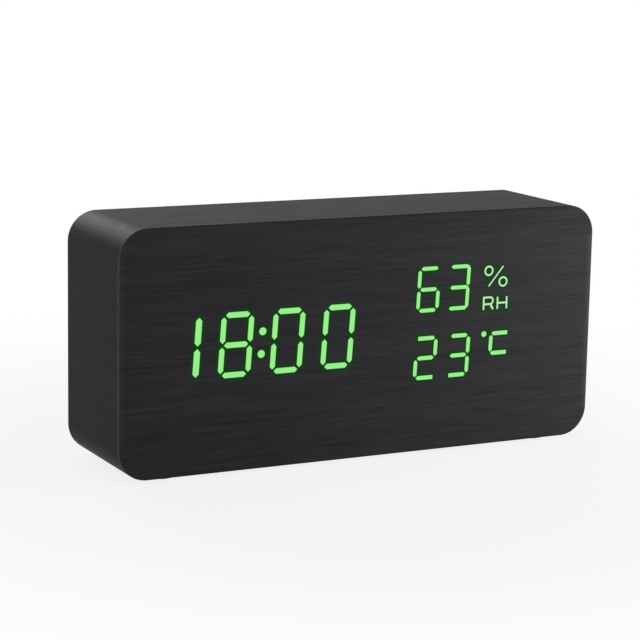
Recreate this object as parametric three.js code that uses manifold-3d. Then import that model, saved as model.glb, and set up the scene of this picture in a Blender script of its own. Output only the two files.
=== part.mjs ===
import * as THREE from "three";
import { mergeVertices } from "three/addons/utils/BufferGeometryUtils.js";
import Module from "manifold-3d";

// A desk alarm clock: a film-covered wooden cabinet with a readout that shines through its front.
// Sizes are in millimetres. X runs across the front, Y from front to back and Z up.
// The origin is on the table, under the middle of the clock.

// Fits
const glueLine = 0.05;
const seatGap = 0.1;
const slotGap = 0.1;
const slideGap = 0.3;
const touchGap = 0.1;
const rootLap = 0.3;

// Cabinet
const bodyWidth = 150;
const bodyHeight = 69;
const bodyDepth = 38;
const cornerRadius = 8.5;
const filmThickness = 0.4;
const frontBoardThickness = 2.6;
const sideWall = 9;
const cavityRadius = 3;
const cavityMargin = 2;
const cornerBlock = 9;
const cornerBlockDepth = 14;
const footRadius = 5;
const footHeight = 1;
const footInsetX = 15;
const footInsetY = 8;
const footEdge = 0.25;

// Readout: a digit is measured between the middle lines of its bars
const timeText = "1800";
const timeInset = 42.3;
const timeZ = 35.6;
const timePitch = 15.7;
const timeDigit = { halfWidth: 4.15, halfHeight: 8.33, stroke: 1.68, tipGap: 0.42, slant: 0.065 };
const leadingDigit = { halfWidth: 4.15, halfHeight: 8.6, stroke: 1.95, tipGap: 0.25, slant: 0.065 };
const colonRadius = 1.18;
const colonSpread = 3.16;
const humidityText = "63";
const humidityZ = 47.1;
const humidityPitch = 9.85;
const humidityDigit = { halfWidth: 3.13, halfHeight: 6.03, stroke: 1.24, tipGap: 0.3, slant: 0.045 };
const humidityClosed = { 3: ["a1", "b0", "c0", "c1", "d1", "g1"] };
const closedLap = 0.08;
const temperatureText = "23";
const temperatureZ = 27.25;
const temperaturePitch = 10.84;
const temperatureDigit = { halfWidth: 3.13, halfHeight: 5.74, stroke: 1.3, tipGap: 0.3, slant: 0.045 };
const temperatureSquare = { 2: ["a0", "d1"], 3: ["d0"] };
const smallDigitsInset = 50.4;
const signInset = 33;
const letterStroke = 0.62;
const letterWidth = 3.1;
const letterHeight = 3.65;
const letterPitch = 4.65;
const legReach = 0.95;
const kneeReach = 0.25;
const kneeDrop = 0.7;
const lettersZ = 41.7;
const percentZ = 49.6;
const percentRadius = 1.6;
const percentSpread = 2.44;
const percentRise = 1.7;
const slashWidth = 0.5;
const slashRise = 2.9;
const degreeRadius = 0.93;
const degreeLead = 3.46;
const celsiusLag = 1.5;
const celsiusZ = 29.9;
const celsiusHalf = 2.9;
const guideWeb = 1;
const guideMargin = 1.2;
const windowMargin = 0.4;
const reflectorDepth = 5;
const reflectorBorder = 5.5;
const readoutRim = 1.8;
const boardCorner = 1.5;
const displayBoardThickness = 1.2;
const diodeWidth = 0.7;
const signWell = 0.4;
const diodeHeight = 0.6;
const driverLength = 13;
const driverWidth = 7.5;
const driverHeight = 1.6;

// Cells and their tray
const cellDiameter = 10.5;
const cellLength = 44.5;
const cellCount = 4;
const cellGap = 0.4;
const cellEdge = 0.4;
const nubRadius = 1.9;
const nubHeight = 1;
const contactThickness = 0.5;
const contactHalf = 4;
const dimpleRadius = 1.6;
const dimpleHeight = 0.4;
const springLength = 4;
const springRadius = 3.3;
const springTaper = 0.9;
const springTurns = 3;
const wireRadius = 0.35;
const trayWall = 1.5;
const tailWidth = 2.4;
const tailLength = 1.8;
const leadRadius = 0.65;
const leadDrop = 2.5;
const leadReach = 4;
const leadInset = 9;
const leadShift = 4;
const leadTurn = 1.4;

// Back panel and battery door
const rimWidth = 5;
const panelRadius = 4;
const panelThickness = 3;
const panelRecess = 1;
const panelScrewInset = 6.5;
const doorThickness = 1.8;
const doorOverlap = 1.2;
const doorGap = 0.3;
const beadRadius = 1.3;
const pinRadius = 0.7;
const pinLength = 1.3;
const hookThickness = 1.2;
const hookWidth = 8;
const nibReach = 0.6;
const nibHeight = 1.4;
const tabWidth = 12;
const tabLap = 1;
const fingerNotch = 3;
const fingerDepth = 1.2;
const ridgeHeight = 0.3;
const ridgeWidth = 8.4;
const ridgePitch = 1.6;
const ridgeThickness = 0.6;

// Control board and what it carries
const controlWidth = 50;
const controlHeight = 42;
const controlThickness = 1.6;
const postRadius = 2.5;
const postInset = 3.5;
const buttonRadius = 3.6;
const buttonFlange = 1;
const flangeLap = 1;
const buttonRise = 1;
const buttonEdge = 0.6;
const buttonTravel = 0.5;
const buttonPitch = 13;
const buttonZ = 11;
const tactSize = 6;
const tactHeight = 3.5;
const plungerRadius = 1.75;
const plungerRise = 1;
const plungerDepth = 1.2;
const soundX = -13;
const soundZ = -3;
const soundBody = [10, 3.6, 5];
const soundTravel = 2.5;
const knobLength = 4;
const knobWidth = 3;
const knobRise = 0.7;
const stemSize = 2;
const stemDepth = 1.2;
const inletWidth = 8;
const inletHeight = 3.2;
const inletWall = 0.4;
const inletBase = 1.5;
const inletRecess = 0.4;
const tongueWidth = 4.4;
const tongueThickness = 0.7;
const tongueRecess = 1.4;
const inletZ = -14;
const buzzerX = 13;
const buzzerZ = -2;
const buzzerRadius = 5;
const buzzerHeight = 5;
const buzzerHole = 1;
const buzzerHoleDepth = 1.5;
const microphoneX = -15;
const microphoneZ = -13.5;
const microphoneRadius = 3;
const microphoneHeight = 4.6;
const microphoneRim = 0.5;
const feltDepth = 0.4;
const sensorX = 13.5;
const sensorZ = -15;
const sensorSize = [9, 4.2, 6];
const sensorSlot = [0.9, 0.8, 3.6];
const sensorSlotPitch = 2;
const capacitorZ = -2.5;
const capacitorRadius = 2.5;
const capacitorHeight = 5;
const capacitorCrimp = 0.3;
const ventWidth = 1.3;
const ventHeight = 7;
const ventPitch = 2.5;
const ventCount = 5;
const soundHole = 0.75;
const socketSize = [14, 3.4, 5];
const socketOffsetZ = 6;
const ribbonWidth = 11;
const ribbonThickness = 0.5;
const processorSize = [10, 1.6, 7];
const processorX = 9;
const processorZ = -9;
const crystalSize = [4.8, 1.3, 3];
const crystalX = -3;
const crystalZ = -9;

// Screws
const screwRadius = 1;
const screwHeadRadius = 2.1;
const screwHeadHeight = 1.3;
const screwMargin = 0.6;
const crossWidth = 0.6;
const crossDepth = 0.7;
const pilotGap = 0.1;
const panelScrewLength = 9;
const boardScrewLength = 5;
const displayScrewBite = 1.6;

// Places across the depth of the readout, from the front face inwards
const boardFront = filmThickness + glueLine;
const boardBack = boardFront + frontBoardThickness;
const ringFront = boardBack + glueLine;
const webFront = boardBack + seatGap;
const webBack = webFront + guideWeb;
const reflectorFront = webBack + seatGap;
const reflectorBack = reflectorFront + reflectorDepth;
const displayFront = reflectorBack + seatGap;
const displayBack = displayFront + displayBoardThickness;

// Places across the depth of the back, from the rim inwards
const panelBack = -panelRecess;
const panelFront = panelBack - panelThickness;
const ledgeY = panelFront - seatGap;
const doorInner = panelBack - doorThickness;
const doorLedge = doorInner - seatGap;
const cellY = doorInner - cellGap - cellDiameter / 2;
const trayFloor = cellY - cellDiameter / 2 - cellGap;
const trayUnder = trayFloor - trayWall;
const hingeY = panelBack - beadRadius;
const hookEnd = panelFront - doorGap - nibHeight;
const flangeBack = panelFront - seatGap;
const flangeFront = flangeBack - buttonFlange;
const plungerTop = flangeFront - touchGap;
const tactTop = plungerTop - plungerRise;
const controlBack = tactTop - tactHeight - seatGap;
const controlFront = controlBack - controlThickness;

// Places across the width and height, from the middle of the cabinet
const cellPitch = cellDiameter + cellGap;
const trayHalfHeight = (cellCount * cellPitch + cellGap) / 2;
const trayOuterHalf = trayHalfHeight + trayWall;
const cavityHalfHeight = trayOuterHalf + cavityMargin;
const cavityHalfWidth = bodyWidth / 2 - sideWall;
const contactRoom = seatGap + contactThickness + touchGap;
const trayLength = cellLength + springLength + dimpleHeight + 2 * contactRoom;
const trayLeft = -cavityHalfWidth + cornerBlock + trayWall;
const trayRight = trayLeft + trayLength;
const hingeX = trayLeft + doorGap + beadRadius;
const doorRight = trayRight + doorOverlap;
const doorHalfHeight = trayHalfHeight + doorOverlap;
const hookX = trayRight + trayWall + 2 * doorGap;
const hookHoleRight = hookX + hookThickness + nibReach + 1.5 * doorGap;
const tabRight = hookHoleRight + tabLap;
const controlX = (tabRight + cavityHalfWidth) / 2;
const rabbetHalfWidth = bodyWidth / 2 - rimWidth;
const rabbetHalfHeight = bodyHeight / 2 - rimWidth;
const panelScrewX = rabbetHalfWidth - panelScrewInset;
const panelScrewZ = rabbetHalfHeight - panelScrewInset;
const postX = controlWidth / 2 - postInset;
const postZ = controlHeight / 2 - postInset;
const skin = filmThickness + glueLine;
const timeX = -bodyWidth / 2 + timeInset;
const smallDigitsX = bodyWidth / 2 - smallDigitsInset;
const signX = bodyWidth / 2 - signInset;
const degreeX = signX - degreeLead;
const celsiusX = signX + celsiusLag;

const wasm = await Module();
wasm.setup();

function solid(geometry) {
  const bare = geometry.clone();
  bare.deleteAttribute("normal");
  bare.deleteAttribute("uv");
  const welded = mergeVertices(bare, 1e-4);
  const vertProperties = new Float32Array(welded.attributes.position.array);
  const triVerts = new Uint32Array(welded.index.array);
  return new wasm.Manifold(new wasm.Mesh({ numProp: 3, vertProperties, triVerts }));
}

function surface(body) {
  const mesh = body.getMesh();
  const geometry = new THREE.BufferGeometry();
  geometry.setAttribute("position", new THREE.BufferAttribute(mesh.vertProperties, 3));
  geometry.setIndex(new THREE.BufferAttribute(mesh.triVerts, 1));
  return geometry;
}

function join(pieces) {
  return surface(pieces.map(solid).reduce((whole, piece) => whole.add(piece)));
}

function cut(geometry, tools) {
  return surface(tools.map(solid).reduce((whole, tool) => whole.subtract(tool), solid(geometry)));
}

function box(x, y, z) {
  const geometry = new THREE.BoxGeometry(x[1] - x[0], y[1] - y[0], z[1] - z[0]);
  return geometry.translate((x[0] + x[1]) / 2, (y[0] + y[1]) / 2, (z[0] + z[1]) / 2);
}

function around(middle, size) {
  return [middle - size / 2, middle + size / 2];
}

// A cylinder along Y
function rod(radius, y, x = 0, z = 0, sides = 10) {
  const geometry = new THREE.CylinderGeometry(radius, radius, y[1] - y[0], sides);
  return geometry.translate(x, (y[0] + y[1]) / 2, z);
}

// A turned piece on the Y axis, its profile given as radius and height from the front end up
function turned(profile, sides) {
  const points = profile.map(([radius, height]) => new THREE.Vector2(radius, height));
  return new THREE.LatheGeometry(points, sides);
}

// An outline drawn across X and Z, made solid along Y
function slab(outline, y, curveSegments = 6) {
  const options = { depth: y[1] - y[0], bevelEnabled: false, curveSegments };
  const geometry = new THREE.ExtrudeGeometry(outline, options);
  return geometry.rotateX(Math.PI / 2).translate(0, y[1], 0);
}

function roundedRectangle(x, z, radius) {
  const outline = new THREE.Shape();
  outline.moveTo(x[0] + radius, z[0]);
  outline.lineTo(x[1] - radius, z[0]);
  outline.absarc(x[1] - radius, z[0] + radius, radius, -Math.PI / 2, 0);
  outline.lineTo(x[1], z[1] - radius);
  outline.absarc(x[1] - radius, z[1] - radius, radius, 0, Math.PI / 2);
  outline.lineTo(x[0] + radius, z[1]);
  outline.absarc(x[0] + radius, z[1] - radius, radius, Math.PI / 2, Math.PI);
  outline.lineTo(x[0], z[0] + radius);
  outline.absarc(x[0] + radius, z[0] + radius, radius, Math.PI, Math.PI * 1.5);
  return outline;
}

function centredRectangle(halfWidth, halfHeight, radius) {
  return roundedRectangle([-halfWidth, halfWidth], [-halfHeight, halfHeight], radius);
}

function cabinetOutline(inset) {
  return centredRectangle(bodyWidth / 2 - inset, bodyHeight / 2 - inset, cornerRadius - inset);
}

function blockedCorners(halfWidth, halfHeight, leg) {
  const corners = [
    [halfWidth - leg, -halfHeight], [halfWidth, leg - halfHeight],
    [halfWidth, halfHeight - leg], [halfWidth - leg, halfHeight],
    [leg - halfWidth, halfHeight], [-halfWidth, halfHeight - leg],
    [-halfWidth, leg - halfHeight], [leg - halfWidth, -halfHeight],
  ];
  return new THREE.Shape(corners.map(([x, z]) => new THREE.Vector2(x, z)));
}

// Seat of the head at the origin, head towards +Y
function screw(length) {
  return turned([
    [0, -length], [screwRadius, -length + screwRadius], [screwRadius, 0], [screwHeadRadius, 0],
    [screwHeadRadius, screwHeadHeight * 0.5], [screwHeadRadius * 0.65, screwHeadHeight], [0, screwHeadHeight],
  ], 10);
}

function crossScrew(length) {
  const recess = [screwHeadHeight - crossDepth, screwHeadHeight + 1];
  const across = around(0, screwHeadRadius * 1.2);
  const blade = around(0, crossWidth);
  return cut(screw(length), [box(across, recess, blade), box(blade, recess, across)]);
}

const clock = new THREE.Group();
const cabinet = new THREE.Group();
const display = new THREE.Group();
const rear = new THREE.Group();
cabinet.position.set(0, 0, footHeight + bodyHeight / 2);
display.position.set(0, -bodyDepth / 2, footHeight);
rear.position.set(0, bodyDepth / 2, footHeight + bodyHeight / 2);
clock.add(cabinet, display, rear);

const finish = (color, roughness, metalness = 0) =>
  new THREE.MeshStandardMaterial({ color, roughness, metalness });
const blackFilm = finish(0x2c2c2e, 0.45);
const fibreboard = finish(0x7a5f43, 0.85);
const rubber = finish(0x1b1b1c, 0.8);
const litGuide = finish(0x8cf57d, 0.3);
const whitePlastic = finish(0xe6e6e2, 0.5);
const blackPlastic = finish(0x202022, 0.5);
const keyPlastic = finish(0x343437, 0.4);
const boardGreen = finish(0x1d5a33, 0.5);
const chipBlack = finish(0x18181a, 0.45);
const steel = finish(0xb4b7ba, 0.35, 1);
const darkSteel = finish(0x3c3d40, 0.4, 1);
const cellJacket = finish(0x8f959b, 0.35, 0.6);
const redSleeve = finish(0xa3211c, 0.5);
const blackSleeve = finish(0x1c1c1c, 0.5);
const greyRibbon = finish(0x9a9c9e, 0.6);
const canBlue = finish(0x24304f, 0.45);

function add(group, name, geometry, material, x = 0, y = 0, z = 0) {
  const mesh = new THREE.Mesh(geometry, material.clone());
  mesh.name = name;
  mesh.position.set(x, y, z);
  group.add(mesh);
  return mesh;
}

// Lights of the readout. Each has the outline that shines, the window cut for it and the well behind
// it, grown by a clearance, and says whether it is lit.
function bar(from, to, thickness, pointedEnds, lit) {
  const middle = from.clone().add(to).multiplyScalar(0.5);
  const along = to.clone().sub(from).normalize();
  const across = new THREE.Vector2(-along.y, along.x);
  const outline = (grow, hasPoints) => {
    const half = thickness / 2 + grow;
    const [start, end] = pointedEnds.map((pointed) => {
      const reach = from.distanceTo(to) / 2 + grow * (pointed ? Math.SQRT2 : 1);
      const tip = pointed && hasPoints ? [reach] : [];
      return { tip, shoulder: pointed ? reach - half : reach };
    });
    const corners = [
      [end.shoulder, half], [-start.shoulder, half], ...start.tip.map((reach) => [-reach, 0]),
      [-start.shoulder, -half], [end.shoulder, -half], ...end.tip.map((reach) => [reach, 0]),
    ];
    const place = ([l, w]) => middle.clone().addScaledVector(along, l).addScaledVector(across, w);
    return new THREE.Shape(corners.map(place));
  };
  const window = (grow) => outline(grow, true);
  const well = (grow) => outline(grow, false);
  return { lit, middle, window, well, face: window };
}

function disc(middle, radius, lit) {
  const window = (grow) => new THREE.Shape().absarc(middle.x, middle.y, radius + grow, 0, Math.PI * 2);
  return { lit, middle, window, well: window, face: window };
}

function ring(middle, radius, stroke, lit) {
  const light = disc(middle, radius, lit);
  light.face = (grow) => {
    const outline = light.window(grow);
    outline.holes.push(new THREE.Path().absarc(middle.x, middle.y, radius - stroke, 0, Math.PI * 2));
    return outline;
  };
  return light;
}

const litBars = { 0: "abcdef", 1: "bc", 2: "abdeg", 3: "abcdg", 6: "acdefg", 8: "abcdefg" };
const barEnds = {
  a: [[-1, 1], [1, 1]], b: [[1, 1], [1, 0]], c: [[1, 0], [1, -1]], d: [[-1, -1], [1, -1]],
  e: [[-1, 0], [-1, -1]], f: [[-1, 1], [-1, 0]], g: [[-1, 0], [1, 0]],
};

// An end of a bar is named by its letter and number: closed ends meet and square ends have no point
function digit(figure, x, z, plain, bold = plain, closed = [], square = []) {
  return Object.entries(barEnds).map(([name, ends]) => {
    const lit = litBars[figure].includes(name);
    const style = lit ? bold : plain;
    const [from, to] = ends.map(([column, row]) => {
      const lean = row * style.halfHeight * style.slant;
      return new THREE.Vector2(x + column * style.halfWidth + lean, z + row * style.halfHeight);
    });
    const along = to.clone().sub(from).normalize();
    const [startGap, endGap] = [0, 1].map((end) => (closed.includes(name + end) ? -closedLap : style.tipGap));
    const pointedEnds = [0, 1].map((end) => !square.includes(name + end));
    from.addScaledVector(along, startGap);
    to.addScaledVector(along, -endGap);
    return bar(from, to, style.stroke, pointedEnds, lit);
  });
}

function stroke(x0, z0, x1, z1, width = letterStroke) {
  return bar(new THREE.Vector2(x0, z0), new THREE.Vector2(x1, z1), width, [false, false], true);
}

// The bowl of a letter: two level strokes that meet in a half round
function bowl(left, right, top, foot, width) {
  const middle = new THREE.Vector2((left + right) / 2, (top + foot) / 2);
  const turn = right - (top - foot) / 2;
  const window = (grow) => {
    const half = width / 2 + grow;
    const outline = new THREE.Shape();
    outline.moveTo(left - half, foot - half);
    outline.lineTo(turn, foot - half);
    outline.absarc(turn, middle.y, (top - foot) / 2 + half, -Math.PI / 2, Math.PI / 2);
    outline.lineTo(left - half, top + half);
    return outline;
  };
  const face = (grow) => {
    const outline = window(grow);
    outline.holes.push(window(-width));
    return outline;
  };
  return { lit: true, middle, window, well: window, face };
}

const timeLights = [...timeText].flatMap((figure, i) => {
  const x = timeX + (i - (timeText.length - 1) / 2) * timePitch;
  return digit(figure, x, timeZ, timeDigit, i === 0 ? leadingDigit : timeDigit);
});
for (const side of [-1, 1]) {
  const lean = side * colonSpread * timeDigit.slant;
  timeLights.push(disc(new THREE.Vector2(timeX + lean, timeZ + side * colonSpread), colonRadius, true));
}

const pairX = (i, pitch) => smallDigitsX + (i - 0.5) * pitch;
const humidityDigits = [...humidityText].flatMap((figure, i) =>
  digit(figure, pairX(i, humidityPitch), humidityZ, humidityDigit, humidityDigit, humidityClosed[figure]));
const percentBars = [-1, 1].map((side) => {
  const middle = new THREE.Vector2(signX + side * percentSpread, percentZ - side * percentRise);
  return ring(middle, percentRadius, letterStroke, true);
});
percentBars.push(stroke(
  signX - percentSpread, percentZ - slashRise, signX + percentSpread, percentZ + slashRise, slashWidth));
const letterTop = lettersZ + letterHeight / 2;
const letterFoot = lettersZ - letterHeight / 2;
const rLeft = signX - letterPitch / 2 - letterWidth / 2;
const rRight = rLeft + letterWidth;
const rWaist = lettersZ - letterStroke / 4;
const hLeft = rLeft + letterPitch;
const hRight = hLeft + letterWidth;
const rKnee = rRight - kneeReach;
const letterBars = [
  stroke(rLeft, letterFoot, rLeft, letterTop), bowl(rLeft, rRight, letterTop, rWaist, letterStroke),
  stroke(rRight - legReach, rWaist, rKnee, rWaist - kneeDrop),
  stroke(rKnee, rWaist - kneeDrop, rRight, letterFoot),
  stroke(hLeft, letterFoot, hLeft, letterTop), stroke(hRight, letterFoot, hRight, letterTop),
  stroke(hLeft, lettersZ, hRight, lettersZ),
];
const humidityLights = [...humidityDigits, ...percentBars, ...letterBars];

const temperatureLights = [...temperatureText].flatMap((figure, i) => {
  const x = pairX(i, temperaturePitch);
  return digit(figure, x, temperatureZ, temperatureDigit, temperatureDigit, [], temperatureSquare[figure]);
});
temperatureLights.push(disc(new THREE.Vector2(degreeX, celsiusZ + celsiusHalf), degreeRadius, true));
const celsiusCorner = (column, row) => new THREE.Vector2(
  celsiusX + (column + row * temperatureDigit.slant) * celsiusHalf, celsiusZ + row * celsiusHalf);
const celsiusBars = [
  { ends: [[-0.9, 1], [1, 1]], points: [true, false] },
  { ends: [[-0.9, 0.88], [-0.9, -0.88]], points: [true, true] },
  { ends: [[-0.9, -1], [1, -1]], points: [true, false] },
];
for (const { ends, points } of celsiusBars) {
  const [from, to] = ends.map((end) => celsiusCorner(...end));
  temperatureLights.push(bar(from, to, temperatureDigit.stroke, points, true));
}

const allLights = [...timeLights, ...humidityLights, ...temperatureLights];
const litLights = allLights.filter((light) => light.lit);

function extent(lights, margin) {
  const points = lights.flatMap((light) => light.window(margin).getPoints());
  const bounds = new THREE.Box2().setFromPoints(points);
  return { x: [bounds.min.x, bounds.max.x], z: [bounds.min.y, bounds.max.y] };
}

const readout = extent(allLights, guideMargin);
const readoutX = [readout.x[0] - readoutRim, readout.x[1] + reflectorBorder];
const readoutZ = [readout.z[0] - readoutRim, readout.z[1] + readoutRim];
const readoutOutline = roundedRectangle(readoutX, readoutZ, boardCorner);
const readoutScrews = [];
const screwInset = screwHeadRadius + screwMargin;
for (const x of [readoutX[0] + screwInset, readoutX[1] - screwInset]) {
  for (const z of [readoutZ[0] + screwInset, readoutZ[1] - screwInset]) {
    readoutScrews.push([x, z]);
  }
}

// Cabinet
const ringDepth = [-bodyDepth / 2 + ringFront, bodyDepth / 2];
const ledge = bodyDepth / 2 + ledgeY;
const blockFront = ledge - cornerBlockDepth;
const panelPilots = [];
for (const sideX of [-1, 1]) {
  for (const sideZ of [-1, 1]) {
    const bore = [ledge - panelScrewLength, ledge + 1];
    panelPilots.push(rod(screwRadius + pilotGap, bore, sideX * panelScrewX, sideZ * panelScrewZ));
  }
}
const cavity = centredRectangle(cavityHalfWidth, cavityHalfHeight, cavityRadius);
const caseBody = cut(slab(cabinetOutline(skin), ringDepth, 4), [
  slab(cavity, [ringDepth[0] - 1, blockFront], 2),
  slab(blockedCorners(cavityHalfWidth, cavityHalfHeight, cornerBlock), [blockFront - 1, ledge + 1]),
  slab(centredRectangle(rabbetHalfWidth, rabbetHalfHeight, panelRadius), [ledge, ringDepth[1] + 1], 3),
  ...panelPilots,
]);
add(cabinet, "case_body", caseBody, fibreboard);

const wrap = cabinetOutline(0);
wrap.holes.push(cabinetOutline(filmThickness));
add(cabinet, "wrap_film", slab(wrap, [-bodyDepth / 2 + boardFront, bodyDepth / 2], 4), blackFilm);

for (const sideX of [-1, 1]) {
  for (const sideY of [-1, 1]) {
    const name = `foot_${sideY < 0 ? "front" : "back"}_${sideX < 0 ? "left" : "right"}`;
    const profile = [
      [0, -bodyHeight / 2 - footHeight], [footRadius - footEdge, -bodyHeight / 2 - footHeight],
      [footRadius, -bodyHeight / 2 - footHeight + footEdge], [footRadius, -bodyHeight / 2 - glueLine],
      [0, -bodyHeight / 2 - glueLine],
    ];
    const foot = turned(profile, 16).rotateX(Math.PI / 2);
    const x = sideX * (bodyWidth / 2 - footInsetX);
    const y = sideY * (bodyDepth / 2 - footInsetY);
    add(cabinet, name, foot, rubber, x, y);
  }
}

// Readout
const faceOutline = (inset) => roundedRectangle(
  [-bodyWidth / 2 + inset, bodyWidth / 2 - inset], [inset, bodyHeight - inset], cornerRadius - inset);
const frontFilm = cut(slab(faceOutline(0), [0, filmThickness], 4),
  litLights.map((light) => slab(light.window(slotGap), [-1, 1])));
add(display, "front_film", frontFilm, blackFilm);
const frontPilots = readoutScrews.map(([x, z]) =>
  rod(screwRadius + pilotGap, [boardBack - displayScrewBite - pilotGap, boardBack + 1], x, z));
const lightGroups = [timeLights, humidityLights, temperatureLights];
const frontWindows = lightGroups.map((lights) => {
  const opening = extent(lights, windowMargin);
  return box(opening.x, [boardFront - 1, boardBack + 1], opening.z);
});
const frontBlank = slab(faceOutline(skin), [boardFront, boardBack], 4);
const frontBoard = cut(frontBlank, [...frontWindows, ...frontPilots]);
add(display, "front_board", frontBoard, fibreboard);

function lightGuide(name, lights) {
  const plate = extent(lights, guideMargin);
  const web = box(plate.x, [webFront, webBack], plate.z);
  const root = webFront + guideWeb / 2;
  const bars = lights.map((light) => slab(light.face(0), [light.lit ? 0 : boardFront + glueLine, root]));
  add(display, name, join([web, ...bars]), litGuide);
}
lightGuide("time_light_guide", timeLights);
lightGuide("humidity_light_guide", humidityLights);
lightGuide("temperature_light_guide", temperatureLights);

const screwHoles = (depth) => readoutScrews.map(([x, z]) => rod(screwRadius + slideGap, depth, x, z));
const wellDepth = [reflectorFront - 1, reflectorBack + 1];
const singleLights = [...timeLights, ...humidityDigits, ...temperatureLights];
const signWells = [percentBars, letterBars].map((bars) => extent(bars, signWell));
const reflector = cut(slab(readoutOutline, [reflectorFront, reflectorBack], 2), [
  ...singleLights.map((light) => slab(light.well(slotGap), wellDepth)),
  ...signWells.map((well) => box(well.x, wellDepth, well.z)),
  ...screwHoles(wellDepth),
]);
add(display, "reflector_frame", reflector, whitePlastic);
const diodePlaces = singleLights.map((light) => [light.middle.x, light.middle.y]);
signWells.forEach((well) => diodePlaces.push([(well.x[0] + well.x[1]) / 2, (well.z[0] + well.z[1]) / 2]));
const diodeDepth = [displayFront - diodeHeight, displayFront + rootLap];
const diodes = diodePlaces.map(([x, z]) => box(around(x, diodeWidth), diodeDepth, around(z, diodeWidth)));
const displayPlate = cut(slab(readoutOutline, [displayFront, displayBack], 2),
  screwHoles([displayFront - 1, displayBack + 1]));
add(display, "display_board", join([displayPlate, ...diodes]), boardGreen);
const chipDepth = [displayBack + seatGap, displayBack + seatGap + driverHeight];
const driverChip = box(around(timeX, driverLength), chipDepth, around(timeZ, driverWidth));
add(display, "led_driver_chip", driverChip, chipBlack);
const displayScrew = screw(displayBack + seatGap - boardBack + displayScrewBite);
readoutScrews.forEach(([x, z], i) =>
  add(display, `display_screw_${i + 1}`, displayScrew, steel, x, displayBack + seatGap, z));

// Back panel
const corners = [[-1, -1], [-1, 1], [1, -1], [1, 1]];
const controlCorners = corners.map(([sideX, sideZ]) => [controlX + sideX * postX, sideZ * postZ]);
const boardScrewCorners = [controlCorners[1], controlCorners[2]];
const buttonPlaces = [-1, 0, 1].map((step) => controlX + step * buttonPitch);
const outside = panelBack + 1;
const through = [panelFront - 1, outside];
const doorOpening = around(0, 2 * (doorHalfHeight + doorGap));
const tailDepth = [trayUnder - 1, trayFloor + 1];
const tailX = trayRight - seatGap - contactThickness / 2;
const tailZ = (cellCount - 1) * cellPitch / 2;
const panelPieces = [
  slab(centredRectangle(rabbetHalfWidth - slideGap, rabbetHalfHeight - slideGap, panelRadius - slideGap),
    [panelFront, panelBack], 3),
  box([trayLeft - trayWall, trayRight + trayWall], [trayUnder, panelFront + 1], around(0, 2 * trayOuterHalf)),
  ...controlCorners.map(([x, z]) => rod(postRadius, [controlBack + seatGap, panelFront + 1], x, z)),
];
const soundMiddle = controlX + soundX;
const soundPath = (length) =>
  [soundMiddle - length / 2 - slideGap, soundMiddle + length / 2 + soundTravel + slideGap];
const inletOpening = {
  x: around(controlX, inletWidth + 2 * slideGap),
  z: around(inletZ, inletHeight + 2 * slideGap),
};
const panelCuts = [
  box([trayLeft, trayRight], [trayFloor, outside], around(0, 2 * trayHalfHeight)),
  box([trayLeft, doorRight + doorGap], [doorLedge, outside], doorOpening),
  box([trayLeft, hingeX + beadRadius + doorGap], [hingeY - beadRadius - doorGap, outside], doorOpening),
  box([doorRight - 1, tabRight + doorGap], [doorLedge, outside], around(0, tabWidth + 2 * doorGap)),
  box([hookX - doorGap, hookHoleRight], through, around(0, hookWidth + 2 * doorGap)),
  box([tabRight, tabRight + fingerNotch], [panelBack - fingerDepth, outside], around(0, ridgeWidth)),
  rod(pinRadius + doorGap, around(0, 2 * (doorHalfHeight + pinLength + doorGap)))
    .rotateX(Math.PI / 2).translate(hingeX, hingeY, 0),
  ...buttonPlaces.map((x) => rod(buttonRadius + slideGap, through, x, buttonZ, 18)),
  box(soundPath(knobLength), through, around(soundZ, knobWidth + 2 * slideGap)),
  slab(roundedRectangle(inletOpening.x, inletOpening.z, inletHeight * 0.4), through, 1),
  rod(soundHole, through, controlX + microphoneX, microphoneZ, 6),
  rod(soundHole, through, controlX + buzzerX, buzzerZ, 6),
];
for (let i = 0; i < 6; i += 1) {
  const turn = i * Math.PI / 3;
  const reach = buzzerRadius * 0.6;
  const x = controlX + buzzerX + reach * Math.cos(turn);
  panelCuts.push(rod(soundHole, through, x, buzzerZ + reach * Math.sin(turn), 6));
}
for (let i = 0; i < ventCount; i += 1) {
  const x = controlX + sensorX + (i - (ventCount - 1) / 2) * ventPitch;
  panelCuts.push(box(around(x, ventWidth), through, around(sensorZ, ventHeight)));
}
for (const sideX of [-1, 1]) {
  for (const sideZ of [-1, 1]) {
    const x = sideX * panelScrewX;
    const z = sideZ * panelScrewZ;
    panelCuts.push(rod(screwRadius + slideGap, through, x, z));
    panelCuts.push(rod(screwHeadRadius + slideGap, [panelBack - screwHeadHeight, panelBack + 1], x, z));
  }
}
for (const [x, z] of boardScrewCorners) {
  const bore = [controlBack - 1, controlFront + boardScrewLength + pilotGap];
  panelCuts.push(rod(screwRadius + pilotGap, bore, x, z));
}
for (const side of [-1, 1]) {
  panelCuts.push(box(around(tailX, contactThickness + 2 * seatGap), tailDepth,
    around(side * tailZ, tailWidth + 2 * seatGap)));
}
add(rear, "back_panel", cut(join(panelPieces), panelCuts), blackPlastic);

const panelScrew = crossScrew(panelScrewLength - screwHeadHeight);
for (const sideX of [-1, 1]) {
  for (const sideZ of [-1, 1]) {
    const name = `panel_screw_${sideZ < 0 ? "bottom" : "top"}_${sideX < 0 ? "left" : "right"}`;
    const seat = panelBack - screwHeadHeight + touchGap;
    add(rear, name, panelScrew, darkSteel, sideX * panelScrewX, seat, sideZ * panelScrewZ);
  }
}

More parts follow.
